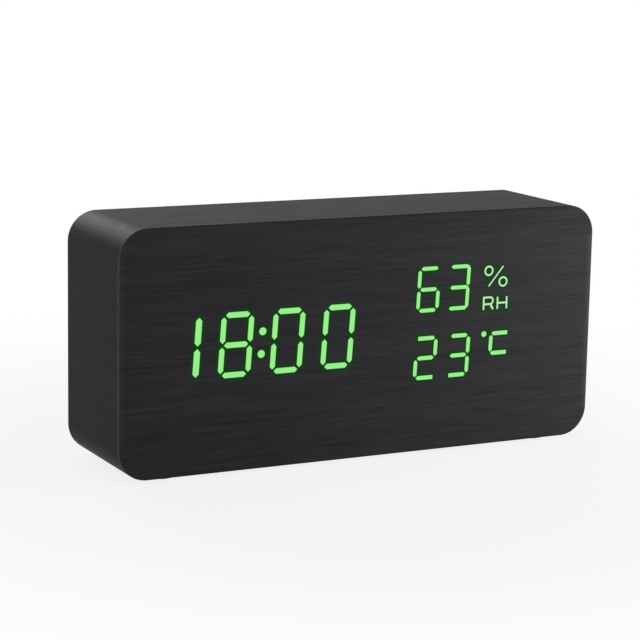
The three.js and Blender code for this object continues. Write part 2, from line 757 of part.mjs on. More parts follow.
// Battery door, with its pivot bead along the outer side and its snap hook under the tab
const doorSpan = [doorInner, panelBack];
const ridgeSpan = [panelBack - rootLap, panelBack + ridgeHeight];
const doorPieces = [
  box([hingeX, doorRight], doorSpan, [-doorHalfHeight, doorHalfHeight]),
  box([doorRight - 1, tabRight], doorSpan, around(0, tabWidth)),
  box([hookX, hookX + hookThickness], [hookEnd, doorInner + rootLap], around(0, hookWidth)),
  box([hookX + rootLap, hookX + hookThickness + nibReach], [hookEnd, hookEnd + nibHeight],
    around(0, hookWidth)),
  rod(beadRadius, around(0, 2 * doorHalfHeight), 0, 0, 16).rotateX(Math.PI / 2).translate(hingeX, hingeY, 0),
  rod(pinRadius, around(0, 2 * (doorHalfHeight + pinLength)))
    .rotateX(Math.PI / 2).translate(hingeX, hingeY, 0),
];
for (const step of [0, 1, 2]) {
  const x = tabRight - tabLap - step * ridgePitch;
  doorPieces.push(box(around(x, ridgeThickness), ridgeSpan, around(0, ridgeWidth)));
}
add(rear, "battery_door", join(doorPieces), blackPlastic);

// Buttons on the back and the push switches under them
const capTop = panelBack + buttonRise;
const flangeRadius = buttonRadius + flangeLap;
const buttonProfile = [
  [0, flangeFront], [flangeRadius, flangeFront], [flangeRadius, flangeBack], [buttonRadius, flangeBack],
  [buttonRadius, capTop - buttonEdge], [buttonRadius - buttonEdge / 3, capTop - buttonEdge / 3],
  [buttonRadius - buttonEdge, capTop], [0, capTop],
];
const tactDepth = [controlBack + seatGap, tactTop];
const tactBody = cut(box(around(0, tactSize), tactDepth, around(0, tactSize)),
  [rod(plungerRadius + slideGap / 2, [tactTop - plungerDepth - buttonTravel - slideGap, tactTop + 1])]);
["set", "up", "down"].forEach((name, i) => {
  add(rear, `${name}_button`, turned(buttonProfile, 18), keyPlastic, buttonPlaces[i], 0, buttonZ);
  add(rear, `${name}_switch`, tactBody, chipBlack, buttonPlaces[i], 0, buttonZ);
  const plunger = rod(plungerRadius, [tactTop - plungerDepth, plungerTop]);
  add(rear, `${name}_plunger`, plunger, whitePlastic, buttonPlaces[i], 0, buttonZ);
});

// Control board
const onBack = controlBack + seatGap;
const onFront = controlFront - seatGap;
const boardScrewHoles = boardScrewCorners.map(([x, z]) =>
  rod(screwRadius + slideGap, [controlFront - 1, controlBack + 1], x, z));
const controlOutline = roundedRectangle(
  around(controlX, controlWidth), around(0, controlHeight), boardCorner);
const controlPlate = slab(controlOutline, [controlFront, controlBack], 1);
add(rear, "control_board", cut(controlPlate, boardScrewHoles), boardGreen);
boardScrewCorners.forEach(([x, z], i) => {
  const mesh = add(rear, `board_screw_${i + 1}`, screw(boardScrewLength), steel, x, onFront, z);
  mesh.rotation.x = Math.PI;
});

const soundDepth = [onBack, onBack + soundBody[1]];
const stemBottom = soundDepth[1] - stemDepth;
const soundCase = box(
  around(soundMiddle + soundTravel / 2, soundBody[0]), soundDepth, around(soundZ, soundBody[2]));
const stemSlot = box(
  soundPath(stemSize), [stemBottom - slideGap, soundDepth[1] + 1], around(soundZ, stemSize + 2 * slideGap));
add(rear, "sound_switch", cut(soundCase, [stemSlot]), steel);
const knob = join([
  box(around(0, stemSize), [stemBottom, panelFront], around(0, stemSize)),
  box(around(0, knobLength), [soundDepth[1] + slideGap, panelBack + knobRise], around(0, knobWidth)),
]);
add(rear, "sound_knob", knob, keyPlastic, soundMiddle, 0, soundZ);

const inletDepth = [onBack, panelBack - inletRecess];
const inletOutline = (inset) => roundedRectangle(
  around(0, inletWidth - 2 * inset), around(0, inletHeight - 2 * inset), inletHeight * 0.35 - inset);
const inletShell = cut(slab(inletOutline(0), inletDepth, 2),
  [slab(inletOutline(inletWall), [onBack + inletBase, panelBack + 1], 2)]);
const tongueDepth = [onBack + inletBase - rootLap, panelBack - tongueRecess];
const inletTongue = box(around(0, tongueWidth), tongueDepth, around(0, tongueThickness));
add(rear, "power_inlet", join([inletShell, inletTongue]), steel, controlX, 0, inletZ);

const buzzerTop = onBack + buzzerHeight;
const buzzerProfile = [
  [0, onBack], [buzzerRadius, onBack], [buzzerRadius, buzzerTop], [buzzerHole, buzzerTop],
  [buzzerHole, buzzerTop - buzzerHoleDepth], [0, buzzerTop - buzzerHoleDepth],
];
add(rear, "buzzer", turned(buzzerProfile, 16), chipBlack, controlX + buzzerX, 0, buzzerZ);
const microphoneTop = onBack + microphoneHeight;
const feltRadius = microphoneRadius - microphoneRim;
const feltTop = microphoneTop - feltDepth;
const microphoneProfile = [
  [0, onBack], [microphoneRadius, onBack], [microphoneRadius, microphoneTop],
  [feltRadius, microphoneTop], [feltRadius, feltTop], [0, feltTop],
];
add(rear, "microphone", turned(microphoneProfile, 12), steel, controlX + microphoneX, 0, microphoneZ);
const capacitorTop = onBack + capacitorHeight;
const crimp = capacitorCrimp;
const capacitorProfile = [
  [0, onBack], [capacitorRadius, onBack], [capacitorRadius, onBack + 3 * crimp],
  [capacitorRadius - crimp, onBack + 4 * crimp], [capacitorRadius, onBack + 5 * crimp],
  [capacitorRadius, capacitorTop - crimp], [capacitorRadius - crimp, capacitorTop], [0, capacitorTop],
];
add(rear, "smoothing_capacitor", turned(capacitorProfile, 12), canBlue, controlX, 0, capacitorZ);
const sensorTop = onBack + sensorSize[1];
const sensorCase = box(around(0, sensorSize[0]), [onBack, sensorTop], around(0, sensorSize[2]));
const sensorSlots = [-1, 0, 1].map((step) => {
  const x = around(step * sensorSlotPitch, sensorSlot[0]);
  return box(x, [sensorTop - sensorSlot[1], sensorTop + 1], around(0, sensorSlot[2]));
});
add(rear, "climate_sensor", cut(sensorCase, sensorSlots), whitePlastic, controlX + sensorX, 0, sensorZ);

const onFrontBox = (size, x, z) => box(around(x, size[0]), [onFront - size[1], onFront], around(z, size[2]));
add(rear, "processor", onFrontBox(processorSize, controlX + processorX, processorZ), chipBlack);
add(rear, "quartz_crystal", onFrontBox(crystalSize, controlX + crystalX, crystalZ), steel);

// Ribbon between the two boards
const displayBackY = displayBack - bodyDepth;
const socketBack = displayBackY + seatGap + socketSize[1];
const socketFront = onFront - socketSize[1];
add(rear, "control_ribbon_socket", onFrontBox(socketSize, controlX, socketOffsetZ), whitePlastic);
const socketDepth = [displayBackY + seatGap, socketBack];
const socketMiddleZ = -socketOffsetZ;
const displaySocket = box(around(controlX, socketSize[0]), socketDepth, around(socketMiddleZ, socketSize[2]));
add(rear, "display_ribbon_socket", displaySocket, whitePlastic);
const ribbonStart = new THREE.Vector2(socketBack + touchGap, -socketOffsetZ);
const ribbonEnd = new THREE.Vector2(socketFront - touchGap, socketOffsetZ);
const ribbonReach = (ribbonEnd.x - ribbonStart.x) * 0.7;
const ribbonCurve = new THREE.CubicBezierCurve(
  ribbonStart, ribbonStart.clone().add(new THREE.Vector2(ribbonReach, 0)),
  ribbonEnd.clone().sub(new THREE.Vector2(ribbonReach, 0)), ribbonEnd);
const ribbonSide = (side) => Array.from({ length: 13 }, (_, i) => {
  const direction = ribbonCurve.getTangent(i / 12);
  const normal = new THREE.Vector2(-direction.y, direction.x);
  return ribbonCurve.getPoint(i / 12).addScaledVector(normal, side * ribbonThickness / 2);
});
const ribbonOutline = new THREE.Shape([...ribbonSide(-1), ...ribbonSide(1).reverse()]);
const acrossX = new THREE.Matrix4().makeBasis(
  new THREE.Vector3(0, 1, 0), new THREE.Vector3(0, 0, 1), new THREE.Vector3(1, 0, 0));
const ribbon = new THREE.ExtrudeGeometry(ribbonOutline, { depth: ribbonWidth, bevelEnabled: false });
add(rear, "display_ribbon", ribbon.applyMatrix4(acrossX), greyRibbon, controlX - ribbonWidth / 2);

// Cells, every other one turned round, and the contacts at the two ends of the tray
const cellRadius = cellDiameter / 2;
const shoulder = cellLength - nubHeight;
const cellProfile = [
  [0, 0], [cellRadius - cellEdge, 0], [cellRadius, cellEdge], [cellRadius, shoulder - cellEdge],
  [cellRadius - cellEdge, shoulder], [nubRadius, shoulder], [nubRadius, cellLength], [0, cellLength],
];
const cellShape = turned(cellProfile, 18).rotateZ(-Math.PI / 2);
const nubStop = contactRoom + dimpleHeight;
const cellPlaces = Array.from({ length: cellCount }, (_, i) => ((cellCount - 1) / 2 - i) * cellPitch);
cellPlaces.forEach((z, i) => {
  const pointsRight = i % 2 === 0;
  const x = pointsRight ? trayRight - nubStop - cellLength : trayLeft + nubStop + cellLength;
  const mesh = add(rear, `cell_${i + 1}`, cellShape, cellJacket, x, cellY, z);
  mesh.rotation.z = pointsRight ? 0 : Math.PI;
});

class Spring extends THREE.Curve {
  constructor(faceX, side, z) {
    super();
    this.faceX = faceX;
    this.side = side;
    this.z = z;
  }

  getPoint(t, target = new THREE.Vector3()) {
    const turn = t * springTurns * Math.PI * 2;
    const radius = springRadius - springTaper * t;
    const sunk = contactThickness / 2;
    const reach = t * (springLength - wireRadius + sunk) - sunk;
    return target.set(
      this.faceX - this.side * reach, cellY + radius * Math.cos(turn), this.z + radius * Math.sin(turn));
  }
}

function springGap(spring) {
  const points = spring.getPoints(springTurns * 24);
  let least = Infinity;
  points.forEach((point, i) => points.slice(i + 12).forEach((other) => {
    least = Math.min(least, point.distanceTo(other));
  }));
  return least - 2 * wireRadius;
}

const wireSection = new THREE.Shape(Array.from({ length: 5 }, (_, i) => {
  const turn = i * Math.PI * 2 / 5;
  return new THREE.Vector2(wireRadius * Math.cos(turn), wireRadius * Math.sin(turn));
}));

// A contact touches the plus end of the cells in plus and the minus end of those in minus
function contact(name, side, plus, minus, hasTail = false) {
  const wallX = side < 0 ? trayLeft : trayRight;
  const backX = wallX - side * seatGap;
  const faceX = backX - side * contactThickness;
  const span = (a, b) => [Math.min(a, b), Math.max(a, b)];
  const heights = [...plus, ...minus].map((i) => cellPlaces[i]);
  const z = [Math.min(...heights) - contactHalf, Math.max(...heights) + contactHalf];
  const pieces = [box(span(backX, faceX), around(cellY, 2 * contactHalf), z)];
  for (const i of plus) {
    const dimple = rod(dimpleRadius, [-contactThickness / 2, dimpleHeight]);
    pieces.push(dimple.rotateZ(side * Math.PI / 2).translate(faceX, cellY, cellPlaces[i]));
  }
  for (const i of minus) {
    const spring = new Spring(faceX, side, cellPlaces[i]);
    const options = { steps: springTurns * 8, extrudePath: spring, bevelEnabled: false };
    pieces.push(new THREE.ExtrudeGeometry(wireSection, options));
    console.log(`${name}: least gap between turns ${springGap(spring).toFixed(2)} mm`);
  }
  if (hasTail) {
    const tail = [trayUnder - tailLength, cellY - contactHalf + rootLap];
    pieces.push(box(span(backX, faceX), tail, around(heights[0], tailWidth)));
  }
  add(rear, name, join(pieces), steel);
}
contact("positive_contact", 1, [0], [], true);
contact("upper_link", -1, [1], [0]);
contact("middle_link", 1, [2], [1]);
contact("lower_link", -1, [3], [2]);
contact("negative_contact", 1, [], [3], true);

// Leads from the tails of the two end contacts to the control board
const leadSection = new THREE.Shape(Array.from({ length: 6 }, (_, i) => {
  const turn = i * Math.PI / 3;
  return new THREE.Vector2(leadRadius * Math.cos(turn), leadRadius * Math.sin(turn));
}));
for (const side of [-1, 1]) {
  const startY = trayUnder - tailLength - touchGap;
  const endX = controlX - controlWidth / 2 + leadInset;
  const endZ = side * (tailZ - leadShift);
  const deep = startY - leadDrop;
  const curve = new THREE.CatmullRomCurve3([
    new THREE.Vector3(tailX, startY, side * tailZ),
    new THREE.Vector3(tailX + leadRadius, startY - leadTurn, side * tailZ),
    new THREE.Vector3(tailX + leadReach, deep, side * (tailZ - leadRadius)),
    new THREE.Vector3((tailX + endX) / 2, deep, side * (tailZ - leadShift / 2)),
    new THREE.Vector3(endX - leadReach, deep + leadTurn, endZ + side * leadRadius),
    new THREE.Vector3(endX - leadRadius / 2, onFront - leadDrop, endZ),
    new THREE.Vector3(endX, onFront, endZ),
  ]);
  const lead = new THREE.ExtrudeGeometry(leadSection, { steps: 14, extrudePath: curve, bevelEnabled: false });
  const name = side > 0 ? "positive_lead" : "negative_lead";
  add(rear, name, lead, side > 0 ? redSleeve : blackSleeve);
}

export default clock;
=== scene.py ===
import math

import bmesh
import bpy
from mathutils import Matrix, Vector
from mathutils.bvhtree import BVHTree


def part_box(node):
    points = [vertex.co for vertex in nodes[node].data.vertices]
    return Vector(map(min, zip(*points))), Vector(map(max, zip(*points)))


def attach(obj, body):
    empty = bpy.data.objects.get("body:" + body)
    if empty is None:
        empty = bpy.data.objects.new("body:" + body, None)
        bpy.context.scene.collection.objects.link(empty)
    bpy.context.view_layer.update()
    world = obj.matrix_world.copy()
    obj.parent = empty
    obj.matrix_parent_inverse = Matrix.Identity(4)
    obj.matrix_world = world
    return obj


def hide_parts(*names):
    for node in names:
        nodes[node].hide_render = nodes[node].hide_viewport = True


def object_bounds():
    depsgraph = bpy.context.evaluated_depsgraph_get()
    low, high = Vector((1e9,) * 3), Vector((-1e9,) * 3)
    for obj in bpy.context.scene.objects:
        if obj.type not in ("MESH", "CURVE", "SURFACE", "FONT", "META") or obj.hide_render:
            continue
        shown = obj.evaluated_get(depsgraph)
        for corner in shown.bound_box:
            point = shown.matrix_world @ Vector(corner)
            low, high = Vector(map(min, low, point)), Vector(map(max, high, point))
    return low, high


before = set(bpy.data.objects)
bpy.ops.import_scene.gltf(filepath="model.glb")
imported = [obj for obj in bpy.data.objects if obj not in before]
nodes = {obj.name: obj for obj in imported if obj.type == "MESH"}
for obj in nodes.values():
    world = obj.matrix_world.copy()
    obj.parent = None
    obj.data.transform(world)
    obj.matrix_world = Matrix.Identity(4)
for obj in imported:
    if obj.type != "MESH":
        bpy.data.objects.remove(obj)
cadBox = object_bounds()
mm = 0.001  # sizes in the dictionaries are millimetres
touch = 1e-6  # metres within which two places are one
over = 1.0  # how far a cutter or a welded root runs past a face
aligned = 0.99  # an edge or a normal this near to an axis runs along it
flatBend = math.radians(1)  # faces that bend less than this are one
holeSides = 40  # of a drilled hole
print("frame loaded,", len(nodes), "nodes")


# Places of the CAD nodes, in mm

def spans(node):
    low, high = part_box(node)
    return [(low[axis] / mm, high[axis] / mm) for axis in range(3)]


def middle(node):
    return [(low + high) / 2 for low, high in spans(node)]


def grown(span, gap):
    return (span[0] - gap, span[1] + gap)


def around(place, width):
    return (place - width / 2, place + width / 2)


def inRow(centre, count, pitch):  # places side by side about a centre
    return [centre + (step - (count - 1) / 2) * pitch for step in range(count)]


# Working in edit mode

def dropSelection():
    if bpy.context.object and bpy.context.object.mode != "OBJECT":
        closeEdit()
    bpy.ops.object.select_all(action="DESELECT")


def takeUp(piece):
    dropSelection()
    piece.select_set(True)
    bpy.context.view_layer.objects.active = piece


def selectAll(action="SELECT"):
    bpy.ops.mesh.select_all(action=action)


def openEdit(piece, kind="FACE"):
    takeUp(piece)
    bpy.ops.object.mode_set(mode="EDIT")
    bpy.ops.mesh.select_mode(type=kind)
    selectAll("DESELECT")


def closeEdit():
    bpy.ops.object.mode_set(mode="OBJECT")


def pick(piece, test, kind="faces"):
    mesh = bmesh.from_edit_mesh(piece.data)
    for part in getattr(mesh, kind):
        if test(part):
            part.select_set(True)
    bmesh.update_edit_mesh(piece.data)


def extrude(x, y, z):
    bpy.ops.mesh.extrude_region_move(TRANSFORM_OT_translate={"value": (x * mm, y * mm, z * mm)})


def cutAcross(axis, level):
    point, normal = Vector(), Vector()
    point[axis], normal[axis] = level * mm, 1
    bpy.ops.mesh.bisect(plane_co=point, plane_no=normal)


def roundEdges(piece, radius, steps, test):
    openEdit(piece, "EDGE")
    pick(piece, test, "edges")
    bpy.ops.mesh.bevel(offset=radius * mm, segments=steps, affect="EDGES")
    closeEdit()


def runsAlong(edge, axis):
    span = edge.verts[1].co - edge.verts[0].co
    return abs(span[axis]) > aligned * span.length


def roundSides(piece, radius, steps, axis=1, span=(-math.inf, math.inf)):  # edges along an axis, by X
    roundEdges(piece, radius, steps, lambda edge: runsAlong(edge, axis)
               and span[0] < edge.verts[0].co.x / mm < span[1])


def roundRim(piece, level, radius, steps):  # edges that lie at one level of Y
    roundEdges(piece, radius, steps, lambda edge: all(
        abs(vert.co.y - level * mm) < touch for vert in edge.verts))


def pullOut(piece, across, span, reach):  # draws out a stretch of the face that looks along +X
    openEdit(piece)
    for level in span:
        selectAll()
        cutAcross(across, level)
    selectAll("DESELECT")
    pick(piece, lambda face: face.normal.x > aligned
         and span[0] < face.calc_center_median()[across] / mm < span[1])
    extrude(reach, 0, 0)
    selectAll()
    bpy.ops.mesh.dissolve_limited(angle_limit=flatBend)
    closeEdit()


def settle(piece, place=None, turn=None):  # puts an object's place, turn and scale into its mesh
    if place is not None:
        piece.location = Vector(place) * mm
    if turn is not None:
        piece.rotation_euler = turn
    takeUp(piece)
    bpy.ops.object.transform_apply(location=True, rotation=True, scale=True)


def block(name, x, y, z):
    dropSelection()
    low, high = (Vector((x[end], y[end], z[end])) * mm for end in (0, 1))
    bpy.ops.mesh.primitive_cube_add(size=1, location=(low + high) / 2)
    piece = bpy.context.object
    piece.name = name
    piece.scale = high - low
    settle(piece)
    return piece


lying = {"X": (0, math.pi / 2, 0), "Y": (-math.pi / 2, 0, 0), "Z": (0, 0, 0)}  # turns Z to the axis


def turned(name, profile, place, sides, axis="Y"):  # profile: radius and height, from end to end
    dropSelection()
    (radius, height), *rest = profile
    bpy.ops.mesh.primitive_circle_add(
        vertices=sides, radius=radius * mm, fill_type="NGON", location=(0, 0, height * mm))
    piece = bpy.context.object
    piece.name = name
    settle(piece)
    openEdit(piece)
    selectAll()
    for nextRadius, nextHeight in rest:
        extrude(0, 0, nextHeight - height)
        share = nextRadius / radius
        bpy.ops.transform.resize(value=(share, share, 1), center_override=(0, 0, nextHeight * mm))
        radius, height = nextRadius, nextHeight
    selectAll()
    bpy.ops.mesh.normals_make_consistent(inside=False)
    closeEdit()
    settle(piece, place, lying[axis])
    return piece


def shoulder(radius, top, edge, steps):  # the rounded end of a profile
    turns = [step / steps * math.pi / 2 for step in range(steps + 1)]
    return [(radius - edge * (1 - math.cos(turn)), top - edge * (1 - math.sin(turn))) for turn in turns]


def applyModifier(piece, kind, **settings):
    takeUp(piece)
    modifier = piece.modifiers.new(kind.lower(), kind)
    for key, value in settings.items():
        setattr(modifier, key, value)
    bpy.ops.object.modifier_apply(modifier=modifier.name)


def easeEdges(piece, width, steps=2, degrees=35):
    applyModifier(piece, "BEVEL", width=width * mm, segments=steps, limit_method="ANGLE",
                  angle_limit=math.radians(degrees))


def smooth(piece, degrees):
    takeUp(piece)
    bpy.ops.object.shade_smooth_by_angle(angle=math.radians(degrees))
    applyModifier(piece, "WEIGHTED_NORMAL", keep_sharp=True)


def combine(piece, tools, operation):
    for tool in tools:
        applyModifier(piece, "BOOLEAN", object=tool, operation=operation, solver="EXACT")
        bpy.data.objects.remove(tool)


def carve(piece, *tools):
    combine(piece, tools, "DIFFERENCE")


def weldOn(piece, *tools):
    combine(piece, tools, "UNION")


def gather(name, parts):  # several loose shells become one piece
    dropSelection()
    for part in parts:
        part.select_set(True)
    bpy.context.view_layer.objects.active = parts[0]
    if len(parts) > 1:
        bpy.ops.object.join()
    parts[0].name = name
    return parts[0]


def drill(x, z, radius, low, top, flare):  # a round cutter from the back, wider at the face
    profile = [(radius, low), (radius, top - flare), (radius + flare, top), (radius + flare, top + over)]
    return turned("drill", profile, (x, 0, z), holeSides)


def punch(x, z, low, top, flare=0.0, corner=0.0, steps=6):  # the same with a square or rounded outline
    tool = block("punch", x, (low, top - flare), z)
    if corner:
        roundSides(tool, corner, steps)
    openEdit(tool)
    pick(tool, lambda face: face.normal.y > aligned)
    if flare:
        extrude(0, flare, 0)
        wider = [1 + 2 * flare / (span[1] - span[0]) for span in (x, z)]
        centre = Vector((sum(x) / 2, top, sum(z) / 2)) * mm
        bpy.ops.transform.resize(value=(wider[0], 1, wider[1]), center_override=centre)
    extrude(0, over, 0)
    closeEdit()
    return tool


def lettering(words, height, place, depth):  # words that are read from behind the clock
    dropSelection()
    bpy.ops.object.text_add()
    text = bpy.context.object
    text.data.body = words
    text.data.size = height * mm
    text.data.align_x = "CENTER"
    text.data.align_y = "CENTER"
    text.data.extrude = depth / 2 * mm
    bpy.ops.object.convert(target="MESH")
    settle(text, place, (math.pi / 2, 0, math.pi))
    openEdit(text)
    selectAll()
    bpy.ops.mesh.remove_doubles(threshold=0.1 * touch)
    bpy.ops.mesh.dissolve_degenerate(threshold=touch)
    closeEdit()
    return text


def triangle(radius, place, depth, degrees, slope=0.0):  # an arrow head on the back, turned about Y
    arrow = turned("arrow", [(radius - slope, -depth / 2), (radius, depth / 2)], (0, 0, 0), 3)
    settle(arrow, place, (0, math.radians(degrees), 0))
    return arrow


def tube(name, points, radius, resolution=6):  # a wire along points given in mm
    curve = bpy.data.curves.new(name, "CURVE")
    curve.dimensions = "3D"
    curve.bevel_depth = radius * mm
    curve.bevel_resolution = resolution
    curve.use_fill_caps = True
    spline = curve.splines.new("POLY")
    spline.points.add(len(points) - 1)
    for knot, point in zip(spline.points, points):
        knot.co = (*(Vector(point) * mm), 1)
    wire = bpy.data.objects.new(name, curve)
    bpy.context.scene.collection.objects.link(wire)
    takeUp(wire)
    bpy.ops.object.convert(target="MESH")
    return bpy.context.object


def throughPoints(points, steps=10):  # a smooth line through given points
    ends = [2 * points[0] - points[1], *points, 2 * points[-1] - points[-2]]
    line = []
    for before, start, stop, after in zip(ends, ends[1:], ends[2:], ends[3:]):
        for step in range(steps):
            t = step / steps
            bow = (2 * before - 5 * start + 4 * stop - after) * t ** 2
            twist = (3 * start - before - 3 * stop + after) * t ** 3
            line.append((2 * start + (stop - before) * t + bow + twist) / 2)
    return [*line, points[-1]]


def dress(piece, *materials):
    piece.data.materials.clear()
    for material in materials:
        piece.data.materials.append(material)


def seat(piece, body, slot, *replaced):
    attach(piece, body)
    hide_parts(*replaced)


def finish(piece, material, body, slot, *replaced, degrees=35):  # with 0 degrees the faces stay flat
    if degrees:
        smooth(piece, degrees)
    dress(piece, material)
    seat(piece, body, slot, *replaced)


# Material helpers

def newMaterial(name):
    material = bpy.data.materials.new(name)
    material.use_nodes = True
    tree = material.node_tree
    return material, tree, tree.nodes["Principled BSDF"]


def feed(tree, socket, value):
    if isinstance(value, bpy.types.NodeSocket):
        tree.links.new(value, socket)
    elif value is not None:
        socket.default_value = value


def setInputs(tree, node, values):
    for key, value in values.items():
        feed(tree, node.inputs[key], value)


def addNode(tree, kind, **inputs):
    node = tree.nodes.new(kind)
    setInputs(tree, node, inputs)
    return node


def operate(tree, kind, operation, values):
    node = tree.nodes.new(kind)
    node.operation = operation
    for socket, value in zip(node.inputs, values):
        feed(tree, socket, value)
    return node


def mathNode(tree, operation, *values, clamp=False):
    node = operate(tree, "ShaderNodeMath", operation, values)
    node.use_clamp = clamp
    return node.outputs[0]


def vectorNode(tree, operation, *values):
    return operate(tree, "ShaderNodeVectorMath", operation, values).outputs


def times(tree, first, second):
    return mathNode(tree, "MULTIPLY", first, second)


def scaled(tree, value, gain, start, clamp=False):
    return mathNode(tree, "MULTIPLY_ADD", value, gain, start, clamp=clamp)


def centred(tree, value):  # noise about zero
    return mathNode(tree, "SUBTRACT", value, 0.5)


mixSockets = {"FLOAT": (0, 2, 3, 0), "RGBA": (0, 6, 7, 2)}  # factor, first, second and the result


def mix(tree, factor, first, second, kind="RGBA"):
    node = tree.nodes.new("ShaderNodeMix")
    node.data_type = kind
    *places, result = mixSockets[kind]
    for place, value in zip(places, (factor, first, second)):
        feed(tree, node.inputs[place], value)
    return node.outputs[result]


def newGroup(name, inputs, outputs):
    group = bpy.data.node_groups.new(name, "ShaderNodeTree")
    for label, value in inputs.items():
        socket = group.interface.new_socket(label, in_out="INPUT", socket_type="NodeSocketFloat")
        socket.default_value = value
    for label in outputs:
        group.interface.new_socket(label, in_out="OUTPUT", socket_type="NodeSocketFloat")
    return group, group.nodes.new("NodeGroupInput").outputs, group.nodes.new("NodeGroupOutput").inputs


def useGroup(tree, group, **inputs):
    node = tree.nodes.new("ShaderNodeGroup")
    node.node_tree = group
    setInputs(tree, node, inputs)
    return node.outputs


def tint(tree, color, brightness):  # a colour made lighter and darker by a value that varies
    return vectorNode(tree, "SCALE", color[:3], None, None, brightness)[0]


def addBump(tree, shader, height, strength, depth):
    bump = addNode(tree, "ShaderNodeBump", Height=height, Strength=strength, Distance=depth * mm)
    feed(tree, shader.inputs["Normal"], bump.outputs["Normal"])


def attribute(tree, name):
    node = tree.nodes.new("ShaderNodeAttribute")
    node.attribute_name = name
    return node.outputs["Fac"]


def objectPlace(tree):
    return tree.nodes.new("ShaderNodeTexCoord").outputs["Object"]


def axes(tree, vector):
    return addNode(tree, "ShaderNodeSeparateXYZ", Vector=vector).outputs


def objectAxis(tree, axis):
    return axes(tree, objectPlace(tree))[axis]


def ripple(tree, axis, pitch):  # a sine wave along one axis
    return mathNode(tree, "SINE", times(tree, objectAxis(tree, axis), 2 * math.pi / (pitch * mm)))


def noise(tree, place, scale, detail, roughness=0.5):
    node = addNode(tree, "ShaderNodeTexNoise", Vector=place, Scale=scale, Detail=detail, Roughness=roughness)
    return node.outputs["Fac"]


def stretchedNoise(tree, place, scale, detail, roughness=0.5):
    return noise(tree, vectorNode(tree, "MULTIPLY", place, scale)[0], 1, detail, roughness)


def shade(level):  # a grey as it reads on screen, 0 to 255
    value = level / 255
    return value / 12.92 if value < 0.04045 else ((value + 0.055) / 1.055) ** 2.4


def screenColor(red, green, blue):
    return (shade(red), shade(green), shade(blue), 1)


# Grain of the film: fine level lines, slow bands and a few pores, fainter on the top and the sides; the
# upright front edges and a narrow band of the sides beside them get a painted highlight

filmLook = {
    "color": screenColor(38, 38, 41), "contrast": 1.08, "roughness": 0.5, "glossByTone": -0.25,
    "specular": 0.03, "bump": 0.4, "bumpDepth": 0.03, "glowColor": (0.001, 0.04, 0.001, 1),
    "glowShade": 0.95, "edgeHighlight": 2.0, "cornerShare": 2, "rimWidth": 1.5, "rimShare": 0.9,
    "sideSlope": (4, -1.5), "sideFade": 0.45, "frontShare": 0.3, "flow": (15, 8, 26), "wander": 1.0,
    "lines": (64, 1700, 3), "bands": (14, 270, 2), "pores": (300, 4600, 1),  # waves a metre, and detail
    "poreSlope": (-6, -0.9), "shares": {"Lines": 1.0, "Bands": 0.55, "Pores": 0.3},
}


def makeFilmGrain():
    group, given, result = newGroup(
        "film grain", {"Lines": 1, "Bands": 1, "Pores": 1}, ("Tone", "Height", "Edge"))
    coordinates = group.nodes.new("ShaderNodeTexCoord").outputs
    place, normal = coordinates["Object"], axes(group, coordinates["Normal"])
    toSide, toFront = (mathNode(group, "ABSOLUTE", normal[axis]) for axis in "XY")
    sideways = scaled(group, toSide, *filmLook["sideSlope"], clamp=True)

    # rim: a pale band on the sides close to the front, part of the painted highlight
    front, width = spans("front_film")[1][0], filmLook["rimWidth"]
    rim = scaled(group, axes(group, place)["Y"], -1 / (width * mm), (front + width) / width, clamp=True)
    rim = times(group, times(group, rim, sideways), filmLook["rimShare"])
    corner = times(group, toSide, toFront)
    feed(group, result["Edge"], scaled(group, corner, filmLook["cornerShare"], rim))  # painted highlight on the upright front edges, and a pale band on the sides next to them

    wander = filmLook["wander"] * mm  # the lines wander a little
    drift = scaled(group, stretchedNoise(group, place, filmLook["flow"], detail=1), 2 * wander, -wander)
    shift = addNode(group, "ShaderNodeCombineXYZ", Y=drift, Z=drift).outputs[0]
    figure = vectorNode(group, "ADD", place, shift)[0]

    def layer(name):
        along, across, detail = filmLook[name]
        flat = stretchedNoise(group, figure, (along, across, across), detail)
        edge = stretchedNoise(group, figure, (along, along, across), detail)
        return centred(group, mix(group, sideways, flat, edge, "FLOAT"))

    lines = times(group, layer("lines"), given["Lines"])
    bands = times(group, layer("bands"), given["Bands"])
    pores = times(group, scaled(group, layer("pores"), *filmLook["poreSlope"], clamp=True), given["Pores"])
    tone = mathNode(group, "SUBTRACT", mathNode(group, "ADD", lines, bands), pores)
    strength = scaled(group, toFront, filmLook["frontShare"], 1 - filmLook["frontShare"])
    strength = times(group, strength, scaled(group, sideways, -filmLook["sideFade"], 1))
    feed(group, result["Tone"], times(group, tone, strength))
    feed(group, result["Height"], mathNode(group, "SUBTRACT", lines, pores))
    return group


filmGrain = makeFilmGrain()


def makeFilmMaterial():
    material, tree, shader = newMaterial("black wood film")
    grain = useGroup(tree, filmGrain, **filmLook["shares"])
    glow = attribute(tree, "glow")
    brightness = scaled(tree, grain["Tone"], filmLook["contrast"], 1)
    brightness = times(tree, brightness, scaled(tree, glow, -filmLook["glowShade"], 1))
    # the Edge output lightens the colour here: a painted highlight on the upright front edges and the side
    # bands
    brightness = scaled(tree, grain["Edge"], filmLook["edgeHighlight"], brightness)
    setInputs(tree, shader, {
        "Base Color": tint(tree, filmLook["color"], brightness),
        "Roughness": scaled(tree, grain["Tone"], filmLook["glossByTone"], filmLook["roughness"]),
        "Specular IOR Level": filmLook["specular"],
        "Emission Color": mix(tree, glow, (0, 0, 0, 1), filmLook["glowColor"]),
        "Emission Strength": 1,
    })
    addBump(tree, shader, grain["Height"], filmLook["bump"], filmLook["bumpDepth"])
    return material


filmMaterial = makeFilmMaterial()

guideLook = {
    "clear": screenColor(20, 34, 20), "rim": (0.001, 0.034, 0.001, 1), "edge": screenColor(158, 231, 148),
    "light": screenColor(140, 243, 126), "sign": screenColor(182, 232, 176), "edgeLevel": 0.4,
    "mottle": 420, "mottleSlope": (1.2, 0.1), "roughness": 0.45, "specular": 0.05,
}


